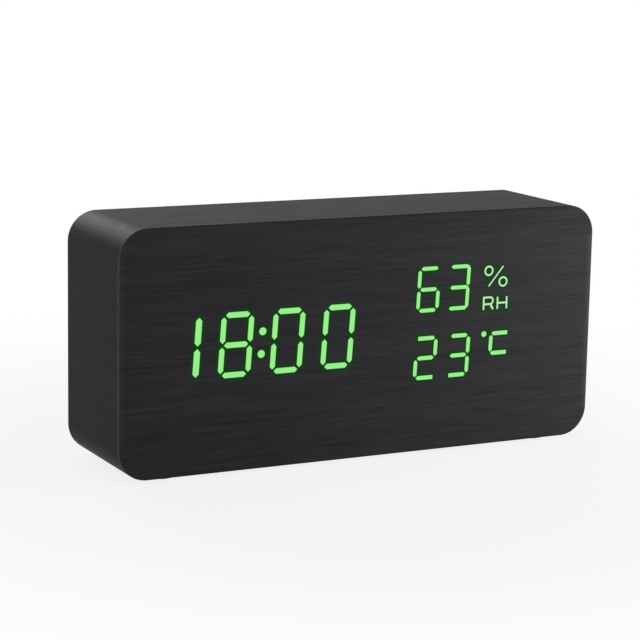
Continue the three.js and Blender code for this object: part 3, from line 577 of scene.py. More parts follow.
def makeGuideMaterial():
    material, tree, shader = newMaterial("lit light guide")
    core, edgeLevel = attribute(tree, "core"), guideLook["edgeLevel"]
    lit = mathNode(tree, "DIVIDE", core, edgeLevel, clamp=True)
    deep = mathNode(tree, "SUBTRACT", core, edgeLevel)
    deep = mathNode(tree, "DIVIDE", deep, 1 - edgeLevel, clamp=True)
    mottle = noise(tree, objectPlace(tree), guideLook["mottle"], detail=2)
    spots = scaled(tree, mottle, *guideLook["mottleSlope"], clamp=True)
    color = mix(tree, times(tree, deep, spots), guideLook["edge"], guideLook["light"])
    color = mix(tree, attribute(tree, "sign"), color, guideLook["sign"])
    setInputs(tree, shader, {
        "Base Color": guideLook["clear"], "Roughness": guideLook["roughness"],
        "Specular IOR Level": guideLook["specular"],
        "Emission Color": mix(tree, lit, guideLook["rim"], color), "Emission Strength": 1,
    })
    return material


guideMaterial = makeGuideMaterial()


# Moulded skin: a fine spark-eroded grain with slow clouds in the gloss

mouldedLook = {"clouds": 70, "glossShare": 0.3}  # scales are waves a metre


def makeMouldedSkin():
    group, given, result = newGroup("moulded skin", {"Scale": 3000}, ("Tone", "Height"))
    place = objectPlace(group)
    fine = centred(group, noise(group, place, given["Scale"], detail=2))
    slow = centred(group, noise(group, place, mouldedLook["clouds"], detail=3))
    feed(group, result["Tone"], mathNode(group, "ADD", fine, slow))
    feed(group, result["Height"], fine)
    return group


mouldedSkin = makeMouldedSkin()


def moulded(name, color, roughness, scale=3000, contrast=0.5, bump=0.5, depth=0.03, specular=0.4):
    material, tree, shader = newMaterial(name)
    skin = useGroup(tree, mouldedSkin, Scale=scale)
    setInputs(tree, shader, {
        "Base Color": tint(tree, color, scaled(tree, skin["Tone"], contrast, 1)),
        "Roughness": scaled(tree, skin["Tone"], mouldedLook["glossShare"], roughness),
        "Specular IOR Level": specular,
    })
    addBump(tree, shader, skin["Height"], bump, depth)
    return material


metalLook = {"brush": (90, 2200, 2200), "glossShare": 0.4, "bump": 0.2, "bumpDepth": 0.01}


def metal(name, color, roughness, contrast=0.35):
    material, tree, shader = newMaterial(name)
    lines = centred(tree, stretchedNoise(tree, objectPlace(tree), metalLook["brush"], detail=3))
    setInputs(tree, shader, {
        "Base Color": tint(tree, color, scaled(tree, lines, contrast, 1)),
        "Roughness": scaled(tree, lines, metalLook["glossShare"], roughness),
        "Metallic": 1,
    })
    addBump(tree, shader, lines, metalLook["bump"], metalLook["bumpDepth"])
    return material


blackPlastic = moulded("black moulded plastic", screenColor(30, 30, 32), 0.5, 1700, contrast=0.8, bump=0.9,
                       depth=0.06, specular=0.22)
keyPlastic = moulded("key plastic", screenColor(40, 40, 43), 0.42, 4200, contrast=0.3, bump=0.25,
                     specular=0.3)
whitePlastic = moulded("white plastic", screenColor(226, 226, 220), 0.5, 2000, contrast=0.08, bump=0.2)
chipEpoxy = moulded("chip epoxy", screenColor(24, 24, 26), 0.6, 5200, contrast=0.6)
footRubber = moulded("foot rubber", screenColor(22, 22, 23), 0.8, 1800, contrast=0.6, bump=0.7, specular=0.2)
redSleeve = moulded("red sleeve", screenColor(164, 30, 26), 0.38, 900, contrast=0.25, bump=0.15)
blackSleeve = moulded("black sleeve", screenColor(26, 26, 26), 0.4, 900, contrast=0.4, bump=0.15)
printInk = moulded("printed ink", screenColor(196, 197, 199), 0.55, 3600, contrast=0.12, bump=0.1)
plainSteel = metal("plated steel", screenColor(182, 184, 187), 0.3)
darkSteel = metal("black oxide steel", screenColor(62, 63, 66), 0.38)
satinSteel = metal("satin steel", screenColor(150, 151, 153), 0.55, contrast=0.15)
goldPlate = metal("gold plate", screenColor(214, 176, 98), 0.28)

boardLook = {
    "mask": screenColor(14, 82, 42), "trace": screenColor(24, 104, 54), "pad": screenColor(186, 178, 150),
    "patch": 5.3, "pitch": 0.85, "trackLevel": 0.45, "level": 0.32, "upright": 0.7, "padPitch": 2.54,
    "padRadius": 0.3, "padSpread": 0.6, "padMetal": 0.8, "roughness": 0.38, "bump": 0.4, "bumpDepth": 0.035,
}


def makeBoardMaterial():  # traces run level in some patches, upright in others, and leave some bare
    material, tree, shader = newMaterial("circuit board")
    patch = vectorNode(tree, "SNAP", objectPlace(tree), [boardLook["patch"] * mm] * 3)[0]
    draw = addNode(tree, "ShaderNodeTexWhiteNoise", Vector=patch).outputs["Value"]
    tracks = []
    for axis, test, limit in (("Z", "LESS_THAN", "level"), ("X", "GREATER_THAN", "upright")):
        wave = ripple(tree, axis, boardLook["pitch"])
        track = mathNode(tree, "GREATER_THAN", wave, boardLook["trackLevel"])
        tracks.append(times(tree, track, mathNode(tree, test, draw, boardLook[limit])))
    traces = mathNode(tree, "MAXIMUM", *tracks)
    dots = addNode(tree, "ShaderNodeTexVoronoi", Vector=objectPlace(tree),
                   Scale=1 / (boardLook["padPitch"] * mm), Randomness=boardLook["padSpread"])
    padReach = boardLook["padRadius"] / boardLook["padPitch"]
    pads = mathNode(tree, "LESS_THAN", dots.outputs["Distance"], padReach)
    color = mix(tree, traces, boardLook["mask"], boardLook["trace"])
    setInputs(tree, shader, {
        "Base Color": mix(tree, pads, color, boardLook["pad"]),
        "Metallic": times(tree, pads, boardLook["padMetal"]),
        "Roughness": boardLook["roughness"],
    })
    addBump(tree, shader, traces, boardLook["bump"], boardLook["bumpDepth"])
    return material


boardGreen = makeBoardMaterial()

fibreLook = {
    "wood": screenColor(150, 118, 84), "dark": screenColor(112, 84, 56), "paint": screenColor(24, 24, 25),
    "fibre": (700, 1500, 700), "fibreSlope": (3, -1), "roughness": 0.85, "bump": 0.4, "bumpDepth": 0.06,
    "paintFrom": 12.0, "paintRagged": 2, "paintSlope": (0.8, 0.6), "paintGloss": 0.3, "paintSpecular": 0.15,
}


def makeFibreMaterial(name, painted):  # painted black on what shows from behind
    material, tree, shader = newMaterial(name)
    fibres = stretchedNoise(tree, objectPlace(tree), fibreLook["fibre"], detail=4, roughness=0.7)
    blend = scaled(tree, fibres, *fibreLook["fibreSlope"], clamp=True)
    color, roughness = mix(tree, blend, fibreLook["dark"], fibreLook["wood"]), fibreLook["roughness"]
    if painted:
        edge = scaled(tree, fibres, fibreLook["paintRagged"] * mm, objectAxis(tree, "Y"))
        paint = mathNode(tree, "GREATER_THAN", edge, fibreLook["paintFrom"] * mm)
        patchy = tint(tree, fibreLook["paint"], scaled(tree, fibres, *fibreLook["paintSlope"]))
        color = mix(tree, paint, color, patchy)
        roughness = scaled(tree, paint, -fibreLook["paintGloss"], roughness)
        shader.inputs["Specular IOR Level"].default_value = fibreLook["paintSpecular"]
    setInputs(tree, shader, {"Base Color": color, "Roughness": roughness})
    addBump(tree, shader, fibres, fibreLook["bump"], fibreLook["bumpDepth"])
    return material


rawFibreboard = makeFibreMaterial("raw fibreboard", False)
paintedFibreboard = makeFibreMaterial("painted fibreboard", True)

cellLook = {
    "jacket": screenColor(96, 104, 112), "cap": screenColor(38, 66, 112), "ring": screenColor(206, 208, 210),
    "capFrom": 30.0, "ringFrom": 28.6, "speckle": 900, "scuff": 0.12, "gloss": (0.2, 0.22), "metallic": 0.35,
}


def makeJacketMaterial():
    material, tree, shader = newMaterial("cell jacket")
    along = attribute(tree, "along")
    capped, ringed = (mathNode(tree, "GREATER_THAN", along, cellLook[key]) for key in ("capFrom", "ringFrom"))
    speckle = noise(tree, objectPlace(tree), cellLook["speckle"], detail=3)
    color = mix(tree, ringed, cellLook["jacket"], cellLook["ring"])
    color = mix(tree, capped, color, cellLook["cap"])
    setInputs(tree, shader, {
        "Base Color": mix(tree, times(tree, speckle, cellLook["scuff"]), color, (0, 0, 0, 1)),
        "Roughness": scaled(tree, speckle, *cellLook["gloss"]),
        "Metallic": cellLook["metallic"],
    })
    return material


cellJacket = makeJacketMaterial()

ribbonLook = {
    "color": screenColor(150, 153, 156), "groove": screenColor(112, 115, 118), "pitch": 1.0,
    "roughness": 0.45, "bump": 0.3, "bumpDepth": 0.1,
}


def makeRibbonMaterial():
    material, tree, shader = newMaterial("grey ribbon")
    wave = scaled(tree, ripple(tree, "X", ribbonLook["pitch"]), 0.5, 0.5)  # 0 in a groove, 1 on a core
    setInputs(tree, shader, {
        "Base Color": mix(tree, wave, ribbonLook["groove"], ribbonLook["color"]),
        "Roughness": ribbonLook["roughness"],
    })
    addBump(tree, shader, wave, ribbonLook["bump"], ribbonLook["bumpDepth"])
    return material


greyRibbon = makeRibbonMaterial()

canLook = {
    "sleeve": screenColor(36, 46, 78), "stripe": screenColor(190, 196, 204),
    "bare": screenColor(176, 178, 180), "stripeFrom": 1.6, "top": 0.35, "roughness": 0.32,
}


def makeCanMaterial():
    material, tree, shader = newMaterial("capacitor sleeve")
    stripeFrom = middle("smoothing_capacitor")[0] + canLook["stripeFrom"]
    bareFrom = spans("smoothing_capacitor")[1][1] - canLook["top"]
    stripe, bare = (mathNode(tree, "GREATER_THAN", objectAxis(tree, axis), level * mm)
                    for axis, level in (("X", stripeFrom), ("Y", bareFrom)))
    color = mix(tree, stripe, canLook["sleeve"], canLook["stripe"])
    setInputs(tree, shader, {
        "Base Color": mix(tree, bare, color, canLook["bare"]), "Metallic": bare,
        "Roughness": canLook["roughness"],
    })
    return material


canBlue = makeCanMaterial()
print("materials made")


# Film on the front, with the green light that leaks into it round each bar of the readout

frontFilm = {
    "cornerRadius": 8.5, "cornerSteps": 24, "setBack": 0.03, "edge": 0.34, "edgeSteps": 4,
    "cell": 2.0, "fineReach": (3.2, 2.0, 1.3), "glowReach": 0.95, "glowFlat": 1.7,
}
guideNames = [reading + "_light_guide" for reading in ("time", "humidity", "temperature")]


def litFaces():
    corners, faces = [], []
    for name in guideNames:
        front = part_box(name)[0].y
        mesh = nodes[name].data
        for polygon in mesh.polygons:
            if abs(polygon.center.y - front) < touch:
                first = len(corners)
                corners.extend(mesh.vertices[i].co for i in polygon.vertices)
                faces.append(range(first, len(corners)))
    return BVHTree.FromPolygons(corners, faces)


def onFace(face):
    return face.normal.y < -aligned


def faceCuts(film, cell):  # a grid of cells over the face
    for axis in (0, 2):
        low, high = spans("front_film")[axis]
        place = low + cell
        while place < high - cell / 2:
            openEdit(film)
            pick(film, onFace)
            cutAcross(axis, place)
            closeEdit()
            place += cell


def makeFrontFilm():
    x, y, z = spans("front_film")
    front = y[0] + frontFilm["setBack"]
    film = block("front_face_film", x, (front, y[1]), z)
    roundSides(film, frontFilm["cornerRadius"], frontFilm["cornerSteps"])
    roundRim(film, front, frontFilm["edge"], frontFilm["edgeSteps"])
    faceCuts(film, frontFilm["cell"])
    lights = litFaces()

    def away(place):
        return lights.find_nearest(place)[3] / mm

    for reach in frontFilm["fineReach"]:  # finer cells close to the lit bars
        openEdit(film)
        pick(film, lambda face: onFace(face) and away(face.calc_center_median()) < reach)
        bpy.ops.mesh.subdivide(number_cuts=1)
        closeEdit()
    glow = film.data.attributes.new("glow", "FLOAT", "POINT")
    for vert, value in zip(film.data.vertices, glow.data):
        level = frontFilm["glowFlat"] * (1 - away(vert.co) / frontFilm["glowReach"])
        value.value = min(1, max(0, level)) if vert.normal.y < 0 else 0
    finish(film, filmMaterial, "clock", "black_film", "front_film")
    print("front film:", len(film.data.polygons), "faces")


makeFrontFilm()

wrapFilm = {"thickness": 0.4}


def makeWrapFilm():
    x, y, z = spans("wrap_film")
    band = block("wrap_band_film", x, (spans("front_film")[1][1], y[1]), z)
    roundSides(band, frontFilm["cornerRadius"], frontFilm["cornerSteps"])
    openEdit(band)
    pick(band, lambda face: abs(face.normal.y) > aligned)
    bpy.ops.mesh.delete(type="ONLY_FACE")
    closeEdit()
    applyModifier(band, "SOLIDIFY", thickness=wrapFilm["thickness"] * mm, offset=-1)
    finish(band, filmMaterial, "clock", "black_film", "wrap_film")


makeWrapFilm()

caseRing = {
    "corner": 8.05, "cornerSteps": 24, "cavity": (132, 51), "cavityCorner": 3, "cornerBlock": 9,
    "blockFront": 0.9, "blockLap": 0.1, "rabbet": (140, 59), "rabbetCorner": 4, "rabbetSteps": 12,
    "ledge": 14.9, "flare": 0.35, "pilot": 1.1, "pilotDepth": 9, "pilotFlare": 0.01,
}
panelScrewNames = [f"panel_screw_{level}_{side}" for level in ("bottom", "top") for side in ("left", "right")]


def makeCaseRing():
    x, y, z = spans("case_body")
    ledge, blockFront = caseRing["ledge"], caseRing["blockFront"]
    ring = block("case_ring", x, y, z)
    roundSides(ring, caseRing["corner"], caseRing["cornerSteps"])
    cavity, rabbet = ([around(centre, size) for centre, size in zip((0, sum(z) / 2), caseRing[key])]
                      for key in ("cavity", "rabbet"))
    carve(ring, punch(*cavity, y[0] - over, blockFront - over, 0, caseRing["cavityCorner"]),
          punch(*cavity, blockFront - caseRing["blockLap"], ledge, 0, caseRing["cornerBlock"], steps=1),
          punch(*rabbet, ledge, y[1], caseRing["flare"], caseRing["rabbetCorner"], caseRing["rabbetSteps"]))
    for name in panelScrewNames:
        screwX, _, screwZ = middle(name)
        low = ledge - caseRing["pilotDepth"]
        carve(ring, drill(screwX, screwZ, caseRing["pilot"], low, ledge, caseRing["pilotFlare"]))
    finish(ring, paintedFibreboard, "clock", "fibreboard", "case_body")


makeCaseRing()

rubberFoot = {
    "edge": 0.3, "core": 0.3, "hollow": 3.1, "hollowDepth": 0.18, "lip": 0.25, "ease": 0.08, "sides": 56,
}


def makeFoot(name):
    x, y, z = spans(name)
    radius, edge, inner = (x[1] - x[0]) / 2, rubberFoot["edge"], rubberFoot["hollow"]
    deep = z[0] + rubberFoot["hollowDepth"]
    profile = [
        (rubberFoot["core"], deep), (inner, deep), (inner + rubberFoot["lip"], z[0]), (radius - edge, z[0]),
        (radius, z[0] + edge), (radius, z[1]),
    ]
    centre = (sum(x) / 2, sum(y) / 2, 0)
    foot = turned("rubber_" + name, profile, centre, rubberFoot["sides"], "Z")
    easeEdges(foot, rubberFoot["ease"], degrees=20)
    finish(foot, footRubber, "clock", "rubber", name)


for level in ("front", "back"):
    for side in ("left", "right"):
        makeFoot(f"foot_{level}_{side}")

litBars = {
    "barRim": 0.13, "barEdge": 0.3, "signRim": 0.07, "signEdge": 0.08,
    "signsFrom": 36,  # the percent sign and the letters lie past this X
}


def ringed(guide, kind, isSign):  # a dark rim, a pale edge and a green core on the picked faces
    for ring, level in (("Rim", guideLook["edgeLevel"]), ("Edge", 1.0)):
        bpy.ops.mesh.inset(thickness=litBars[kind + ring] * mm)
        mesh = bmesh.from_edit_mesh(guide.data)
        core, sign = (mesh.verts.layers.float[name] for name in ("core", "sign"))
        for vert in mesh.verts:
            if vert.select:
                vert[core], vert[sign] = level, isSign
        bmesh.update_edit_mesh(guide.data)


def makeLitGuide(name):
    guide = bpy.data.objects.new(name.replace("light_guide", "lit_bars"), nodes[name].data.copy())
    bpy.context.scene.collection.objects.link(guide)
    for layer in ("core", "sign"):
        guide.data.attributes.new(layer, "FLOAT", "POINT")
    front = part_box(name)[0].y
    signsFrom = litBars["signsFrom"] * mm if name == "humidity_light_guide" else math.inf
    openEdit(guide)
    selectAll()
    bpy.ops.mesh.remove_doubles(threshold=touch)
    bpy.ops.mesh.dissolve_limited(angle_limit=flatBend)
    for kind, isSign in (("bar", False), ("sign", True)):
        selectAll("DESELECT")
        pick(guide, lambda face: abs(face.calc_center_median().y - front) < touch
             and (face.calc_center_median().x > signsFrom) == isSign)
        if guide.data.total_face_sel:
            ringed(guide, kind, isSign)
    closeEdit()
    finish(guide, guideMaterial, "clock", "lit_guide", name, degrees=0)


for name in guideNames:
    makeLitGuide(name)
print("cabinet made")


# Back panel with the battery tray

keyNames = ("set", "up", "down")
backPanel = {
    "plate": 3.0, "corner": 3.7, "cornerSteps": 12, "edge": 0.45, "edgeSteps": 3, "flare": 0.3,
    "wall": 1.5, "cellGap": 0.4, "contactGap": 0.1, "trayCorner": 0.8, "ledge": 1.9, "gap": 0.3,
    "pinLength": 1.3, "hinge": (-53.9, 16.7), "bead": 1.3, "pin": 0.7, "doorRight": -4.0, "doorCorner": 0.4,
    "tab": 12, "tabCorner": 0.6, "hook": 8, "hookHole": (-3.4, -0.85), "hookDepth": 5, "notch": 3.0,
    "notchWidth": 8.4, "notchDepth": 1.2, "notchCorner": 1.2, "keyBore": 3.9, "soundHole": 0.75,
    "buzzerRing": 3.0, "buzzerHoles": 6, "vent": (1.3, 7.0), "ventPitch": 2.5, "ventCount": 5,
    "ventCorner": 0.6, "holeFlare": 0.15, "slide": 2.5, "knobGap": 0.3, "slideCorner": 0.5,
    "inletCorner": 1.28, "head": 2.4, "headDepth": 1.3, "headFlare": 0.2, "bore": 1.3, "boreFlare": 0.01,
    "post": 2.5, "postBoard": 9.3, "postSink": 3.5, "postSides": 32, "pinSides": 24, "smallSteps": 4,
    "inletSteps": 8,
}


def trayReach():
    gap = backPanel["contactGap"]
    x = (spans("upper_link")[0][0] - gap, spans("positive_contact")[0][1] + gap)
    z = grown((spans("cell_4")[2][0], spans("cell_1")[2][1]), backPanel["cellGap"])
    return x, z, spans("cell_1")[1][0] - backPanel["cellGap"]


def doorCutters(top):
    gap, flare, doorRight, steps = (backPanel[key] for key in ("gap", "flare", "doorRight", "smallSteps"))
    doorX, _, doorZ = spans("battery_door")
    trayX, trayZ, floor = trayReach()
    height = sum(doorZ) / 2
    ledge = top - backPanel["ledge"]
    opening = grown(doorZ, gap - backPanel["pinLength"])
    hingeX, hingeY = backPanel["hinge"]
    bead = backPanel["bead"] + gap
    tab, hook = (around(height, backPanel[key] + 2 * gap) for key in ("tab", "hook"))
    notch = (doorX[1], doorX[1] + backPanel["notch"]), around(height, backPanel["notchWidth"])
    pinProfile = [(backPanel["pin"] + gap, end) for end in grown(doorZ, gap)]
    pins = turned("pins", pinProfile, (hingeX, hingeY, 0), backPanel["pinSides"], "Z")
    return [
        punch((trayX[0], doorRight + gap), opening, ledge, top, flare, backPanel["doorCorner"], steps),
        punch((doorRight - over, doorX[1] + gap), tab, ledge, top, flare, backPanel["tabCorner"], steps),
        punch(*notch, top - backPanel["notchDepth"], top, flare, backPanel["notchCorner"]),
        punch((trayX[0], hingeX + bead), opening, hingeY - bead, ledge),
        punch(trayX, trayZ, floor, ledge, 0, backPanel["trayCorner"], steps),
        punch(backPanel["hookHole"], hook, top - backPanel["hookDepth"], ledge),
        pins,
    ]


def openingCutters(top):
    through, flare, holeFlare = top - backPanel["plate"] - over, backPanel["flare"], backPanel["holeFlare"]
    cutters = []
    for key in keyNames:
        x, _, z = middle(key + "_button")
        cutters.append(drill(x, z, backPanel["keyBore"], through, top, flare))
    knobX, _, knobZ = spans("sound_knob")
    path = grown((knobX[0], knobX[1] + backPanel["slide"]), backPanel["knobGap"])
    slot = grown(knobZ, backPanel["knobGap"])
    cutters.append(punch(path, slot, through, top, flare, backPanel["slideCorner"], backPanel["smallSteps"]))
    mouth = [grown(spans("power_inlet")[axis], backPanel["gap"]) for axis in (0, 2)]
    cutters.append(punch(*mouth, through, top, flare, backPanel["inletCorner"], backPanel["inletSteps"]))
    ear, sounder, sensor = (middle(name) for name in ("microphone", "buzzer", "climate_sensor"))
    holes = [(ear[0], ear[2]), (sounder[0], sounder[2])]
    for step in range(backPanel["buzzerHoles"]):
        turn = step / backPanel["buzzerHoles"] * 2 * math.pi
        reach = backPanel["buzzerRing"]
        holes.append((sounder[0] + reach * math.cos(turn), sounder[2] + reach * math.sin(turn)))
    cutters.extend(drill(x, z, backPanel["soundHole"], through, top, holeFlare) for x, z in holes)
    wide, high = backPanel["vent"]
    for x in inRow(sensor[0], backPanel["ventCount"], backPanel["ventPitch"]):
        vent = around(x, wide), around(sensor[2], high)
        cutters.append(punch(*vent, through, top, holeFlare, backPanel["ventCorner"]))
    for name in panelScrewNames:
        x, _, z = middle(name)
        cutters.append(drill(x, z, backPanel["bore"], through, top, backPanel["boreFlare"]))
        headLow = top - backPanel["headDepth"]
        cutters.append(drill(x, z, backPanel["head"], headLow, top, backPanel["headFlare"]))
    return cutters


def makeBackPanel():
    x, y, z = spans("back_panel")
    top = y[1]
    plateFront, wall = top - backPanel["plate"], backPanel["wall"]
    panel = block("rear_panel", x, (plateFront, top), z)
    roundSides(panel, backPanel["corner"], backPanel["cornerSteps"])
    roundRim(panel, top, backPanel["edge"], backPanel["edgeSteps"])
    trayX, trayZ, _ = trayReach()
    tray = block("tray", grown(trayX, wall), (y[0], plateFront + over), grown(trayZ, wall))
    roundSides(tray, backPanel["trayCorner"], backPanel["smallSteps"])
    board = spans("control_board")
    profile = [(backPanel["post"], backPanel["postBoard"]), (backPanel["post"], plateFront + over)]
    posts = [turned("post", profile, (postX, 0, postZ), backPanel["postSides"])
             for postX in grown(board[0], -backPanel["postSink"])
             for postZ in grown(board[2], -backPanel["postSink"])]
    weldOn(panel, tray, *posts)
    carve(panel, *doorCutters(top), *openingCutters(top))
    finish(panel, blackPlastic, "clock", "black_plastic", "back_panel", degrees=25)
    print("back panel:", len(panel.data.polygons), "faces")


makeBackPanel()

panelMarks = {
    "depth": 0.06, "sink": 0.01, "height": 2.5, "above": 6.6, "arrow": 1.15, "beside": 5.9, "below": 4.6,
    "small": 2.2,
}


def makePanelMarks():
    depth, small = panelMarks["depth"], panelMarks["small"]
    face = spans("back_panel")[1][1] + depth / 2 - panelMarks["sink"]
    across = {key: middle(key + "_button")[0] for key in keyNames}
    above = middle("set_button")[2] + panelMarks["above"]
    marks = [lettering("SET", panelMarks["height"], (across["set"], face, above), depth)]
    for key, degrees in (("up", 180), ("down", 0)):
        marks.append(triangle(panelMarks["arrow"], (across[key], face, above), depth, degrees))
    x, _, z = middle("sound_knob")
    x += backPanel["slide"] / 2
    for words, side in (("ON", 1), ("OFF", -1)):
        marks.append(lettering(words, small, (x + side * panelMarks["beside"], face, z), depth))
    x, _, z = middle("power_inlet")
    marks.append(lettering("5 V", small, (x, face, z - panelMarks["below"]), depth))
    finish(gather("panel_marks", marks), printInk, "clock", "white_plastic", degrees=0)


makePanelMarks()

crossScrew = {
    "shank": 1.0, "head": 2.1, "rise": 1.3, "blade": 0.62, "reach": 2.7, "crossDepth": 0.75, "tip": 1.2,
    "point": 0.15, "dome": ((0.4, 0), (0.7, 0.06), (0.88, 0.18), (0.97, 0.34), (1, 0.5), (1, 1)),
    "sides": 40,
}


def makeScrew(name, facing, steel, slot):  # facing is 1 where the head looks back, -1 where it looks forward
    x, y, z = spans(name)
    face = y[1] if facing > 0 else y[0]
    length, head, rise, shank = y[1] - y[0], crossScrew["head"], crossScrew["rise"], crossScrew["shank"]
    profile = [(radius * head, depth * rise) for radius, depth in crossScrew["dome"]]
    profile += [(shank, rise), (shank, length - crossScrew["tip"]), (crossScrew["point"], length)]
    profile = [(radius, face - facing * depth) for radius, depth in profile]
    centre = (sum(x) / 2, 0, sum(z) / 2)
    screw = turned("cross_" + name, profile, centre, crossScrew["sides"])
    recess = sorted((face + facing * over, face - facing * crossScrew["crossDepth"]))
    blade = crossScrew["reach"], crossScrew["blade"]
    for wide, high in (blade, blade[::-1]):
        carve(screw, block("blade", around(centre[0], wide), recess, around(centre[2], high)))
    finish(screw, steel, "clock", slot, name, degrees=40)


for name in panelScrewNames:
    makeScrew(name, 1, darkSteel, "dark_steel")
for number in (1, 2):
    makeScrew(f"board_screw_{number}", -1, plainSteel, "steel")
for number in (1, 2, 3, 4):
    makeScrew(f"display_screw_{number}", 1, plainSteel, "steel")
print("back panel made")


# Battery door with its pivot bead, tab and snap hook

batteryDoor = {
    "thickness": 1.8, "corner": 0.5, "edge": 0.3, "tabCorner": 1.4, "ridgeRise": 0.3, "ridge": 0.7,
    "ridgePitch": 1.6, "ridgeWidth": 8.4, "ridgeCount": 3, "ridgeRoot": 0.3, "ridgeEase": 0.2, "tabLap": 1.0,
    "hook": (-3.1, -1.9), "hookWidth": 8, "hookRoot": 0.4, "nib": 0.6, "nibHeight": 1.4, "nibSlope": 0.5,
    "arrow": 3.6, "arrowPlace": -12.0, "arrowDepth": 0.5, "arrowSlope": 1.4, "bead": 1.27, "beadInset": 0.2,
    "pinEase": 0.15, "cornerSteps": 4, "tabSteps": 6, "edgeSteps": 3, "ridgeSteps": 3, "beadSides": 40,
    "pinSides": 28, "cornerSpan": 0.2,  # corners are picked within this width
}


def makeHook(y, low, height):
    hook = block("hook", batteryDoor["hook"], (y[0], low + batteryDoor["hookRoot"]),
                 around(height, batteryDoor["hookWidth"]))
    pullOut(hook, 1, (y[0] - over, y[0] + batteryDoor["nibHeight"]), batteryDoor["nib"])
    tip = Vector((batteryDoor["hook"][1] + batteryDoor["nib"], y[0])) * mm
    roundEdges(hook, batteryDoor["nibSlope"], 1, lambda edge: all(
        (vert.co.xy - tip).length < touch for vert in edge.verts))  # a lead-in slope on the nib
    return hook


def makeBatteryDoor():
    x, y, z = spans("battery_door")
    height, right = sum(z) / 2, backPanel["doorRight"]
    top = spans("back_panel")[1][1]
    low = top - batteryDoor["thickness"]
    hingeX, hingeY = backPanel["hinge"]
    plateZ = grown(z, -backPanel["pinLength"])
    door = block("door_plate", (hingeX, right), (low, top), plateZ)
    pullOut(door, 2, around(height, backPanel["tab"]), x[1] - right)
    cornerSpan = batteryDoor["cornerSpan"]
    roundSides(door, batteryDoor["tabCorner"], batteryDoor["tabSteps"], span=around(x[1], cornerSpan))
    roundSides(door, batteryDoor["corner"], batteryDoor["cornerSteps"], span=around(right, cornerSpan))
    roundRim(door, top, batteryDoor["edge"], batteryDoor["edgeSteps"])
    hinge = (hingeX, hingeY, 0)
    beadProfile = [(batteryDoor["bead"], end) for end in grown(plateZ, -batteryDoor["beadInset"])]
    bead = turned("bead", beadProfile, hinge, batteryDoor["beadSides"], "Z")
    pinProfile = [(backPanel["pin"], end) for end in z]
    pins = turned("pins", pinProfile, hinge, batteryDoor["pinSides"], "Z")
    easeEdges(pins, batteryDoor["pinEase"])
    weldOn(door, bead, pins, makeHook(y, low, height))
    ridgeY = (top - batteryDoor["ridgeRoot"], top + batteryDoor["ridgeRise"])
    for step in range(batteryDoor["ridgeCount"]):
        ridgeX = x[1] - batteryDoor["tabLap"] - step * batteryDoor["ridgePitch"]
        ridge = block("ridge", around(ridgeX, batteryDoor["ridge"]), ridgeY,
                      around(height, batteryDoor["ridgeWidth"]))
        easeEdges(ridge, batteryDoor["ridgeEase"], batteryDoor["ridgeSteps"])
        weldOn(door, ridge)
    place = (batteryDoor["arrowPlace"], top, height)
    carve(door, triangle(batteryDoor["arrow"], place, 2 * batteryDoor["arrowDepth"], degrees=90,
                         slope=batteryDoor["arrowSlope"]))
    finish(door, blackPlastic, "door", "black_plastic", "battery_door", degrees=30)


makeBatteryDoor()
print("battery door made")


# Keys and the sound switch

keyCap = {
    "flange": 1.0, "radius": 3.6, "edge": 0.6, "edgeSteps": 5, "dish": 0.22, "dishRings": 6, "hub": 0.2,
    "sides": 56,
}


def makeKey(key):
    x, y, z = spans(key + "_button")
    flange, rim = (x[1] - x[0]) / 2, y[0] + keyCap["flange"]
    radius, edge, top, rings = keyCap["radius"], keyCap["edge"], y[1], keyCap["dishRings"]
    profile = [(flange, y[0]), (flange, rim), (radius, rim)]
    profile += shoulder(radius, top, edge, keyCap["edgeSteps"])
    for ring in range(1, rings + 1):  # a shallow dish for the fingertip
        share = 1 - ring / (rings + keyCap["hub"])
        profile.append((share * (radius - edge), top - keyCap["dish"] * (1 - share ** 2)))
    cap = turned(key + "_key_cap", profile, (sum(x) / 2, 0, sum(z) / 2), keyCap["sides"])
    finish(cap, keyPlastic, key + "_key", "key_plastic", key + "_button", degrees=30)


for key in keyNames:
    makeKey(key)

soundKnob = {
    "stem": 2.0, "stemLap": 0.5, "bodyFrom": 13.2, "edge": 0.3, "groove": 0.4, "grooveDepth": 0.35,
    "pitch": 0.95, "grooves": 3, "edgeSteps": 3,
}


def makeSoundKnob():
    x, y, z = spans("sound_knob")
    bodyFrom = soundKnob["bodyFrom"]
    knob = block("slide_knob", x, (bodyFrom, y[1]), z)
    easeEdges(knob, soundKnob["edge"], soundKnob["edgeSteps"])
    stemX, stemZ = (around(sum(span) / 2, soundKnob["stem"]) for span in (x, z))
    weldOn(knob, block("stem", stemX, (y[0], bodyFrom + soundKnob["stemLap"]), stemZ))
    for place in inRow(sum(x) / 2, soundKnob["grooves"], soundKnob["pitch"]):
        groove = around(place, soundKnob["groove"])
        carve(knob, punch(groove, grown(z, over), y[1] - soundKnob["grooveDepth"], y[1]))
    finish(knob, keyPlastic, "sound_slider", "key_plastic", "sound_knob", degrees=30)


makeSoundKnob()

powerInlet = {
    "wall": 0.4, "corner": 1.12, "base": 1.5, "mouthFlare": 0.15, "tongue": (4.4, 0.7), "tongueRoot": 0.3,
    "tongueStop": 1.0, "tongueEase": 0.12, "pins": 5, "pin": 0.42, "pinPitch": 0.78, "pinRise": 0.08,
    "pinRoot": 0.2, "pinStop": 0.4, "pinEase": 0.05, "cornerSteps": 8,
}


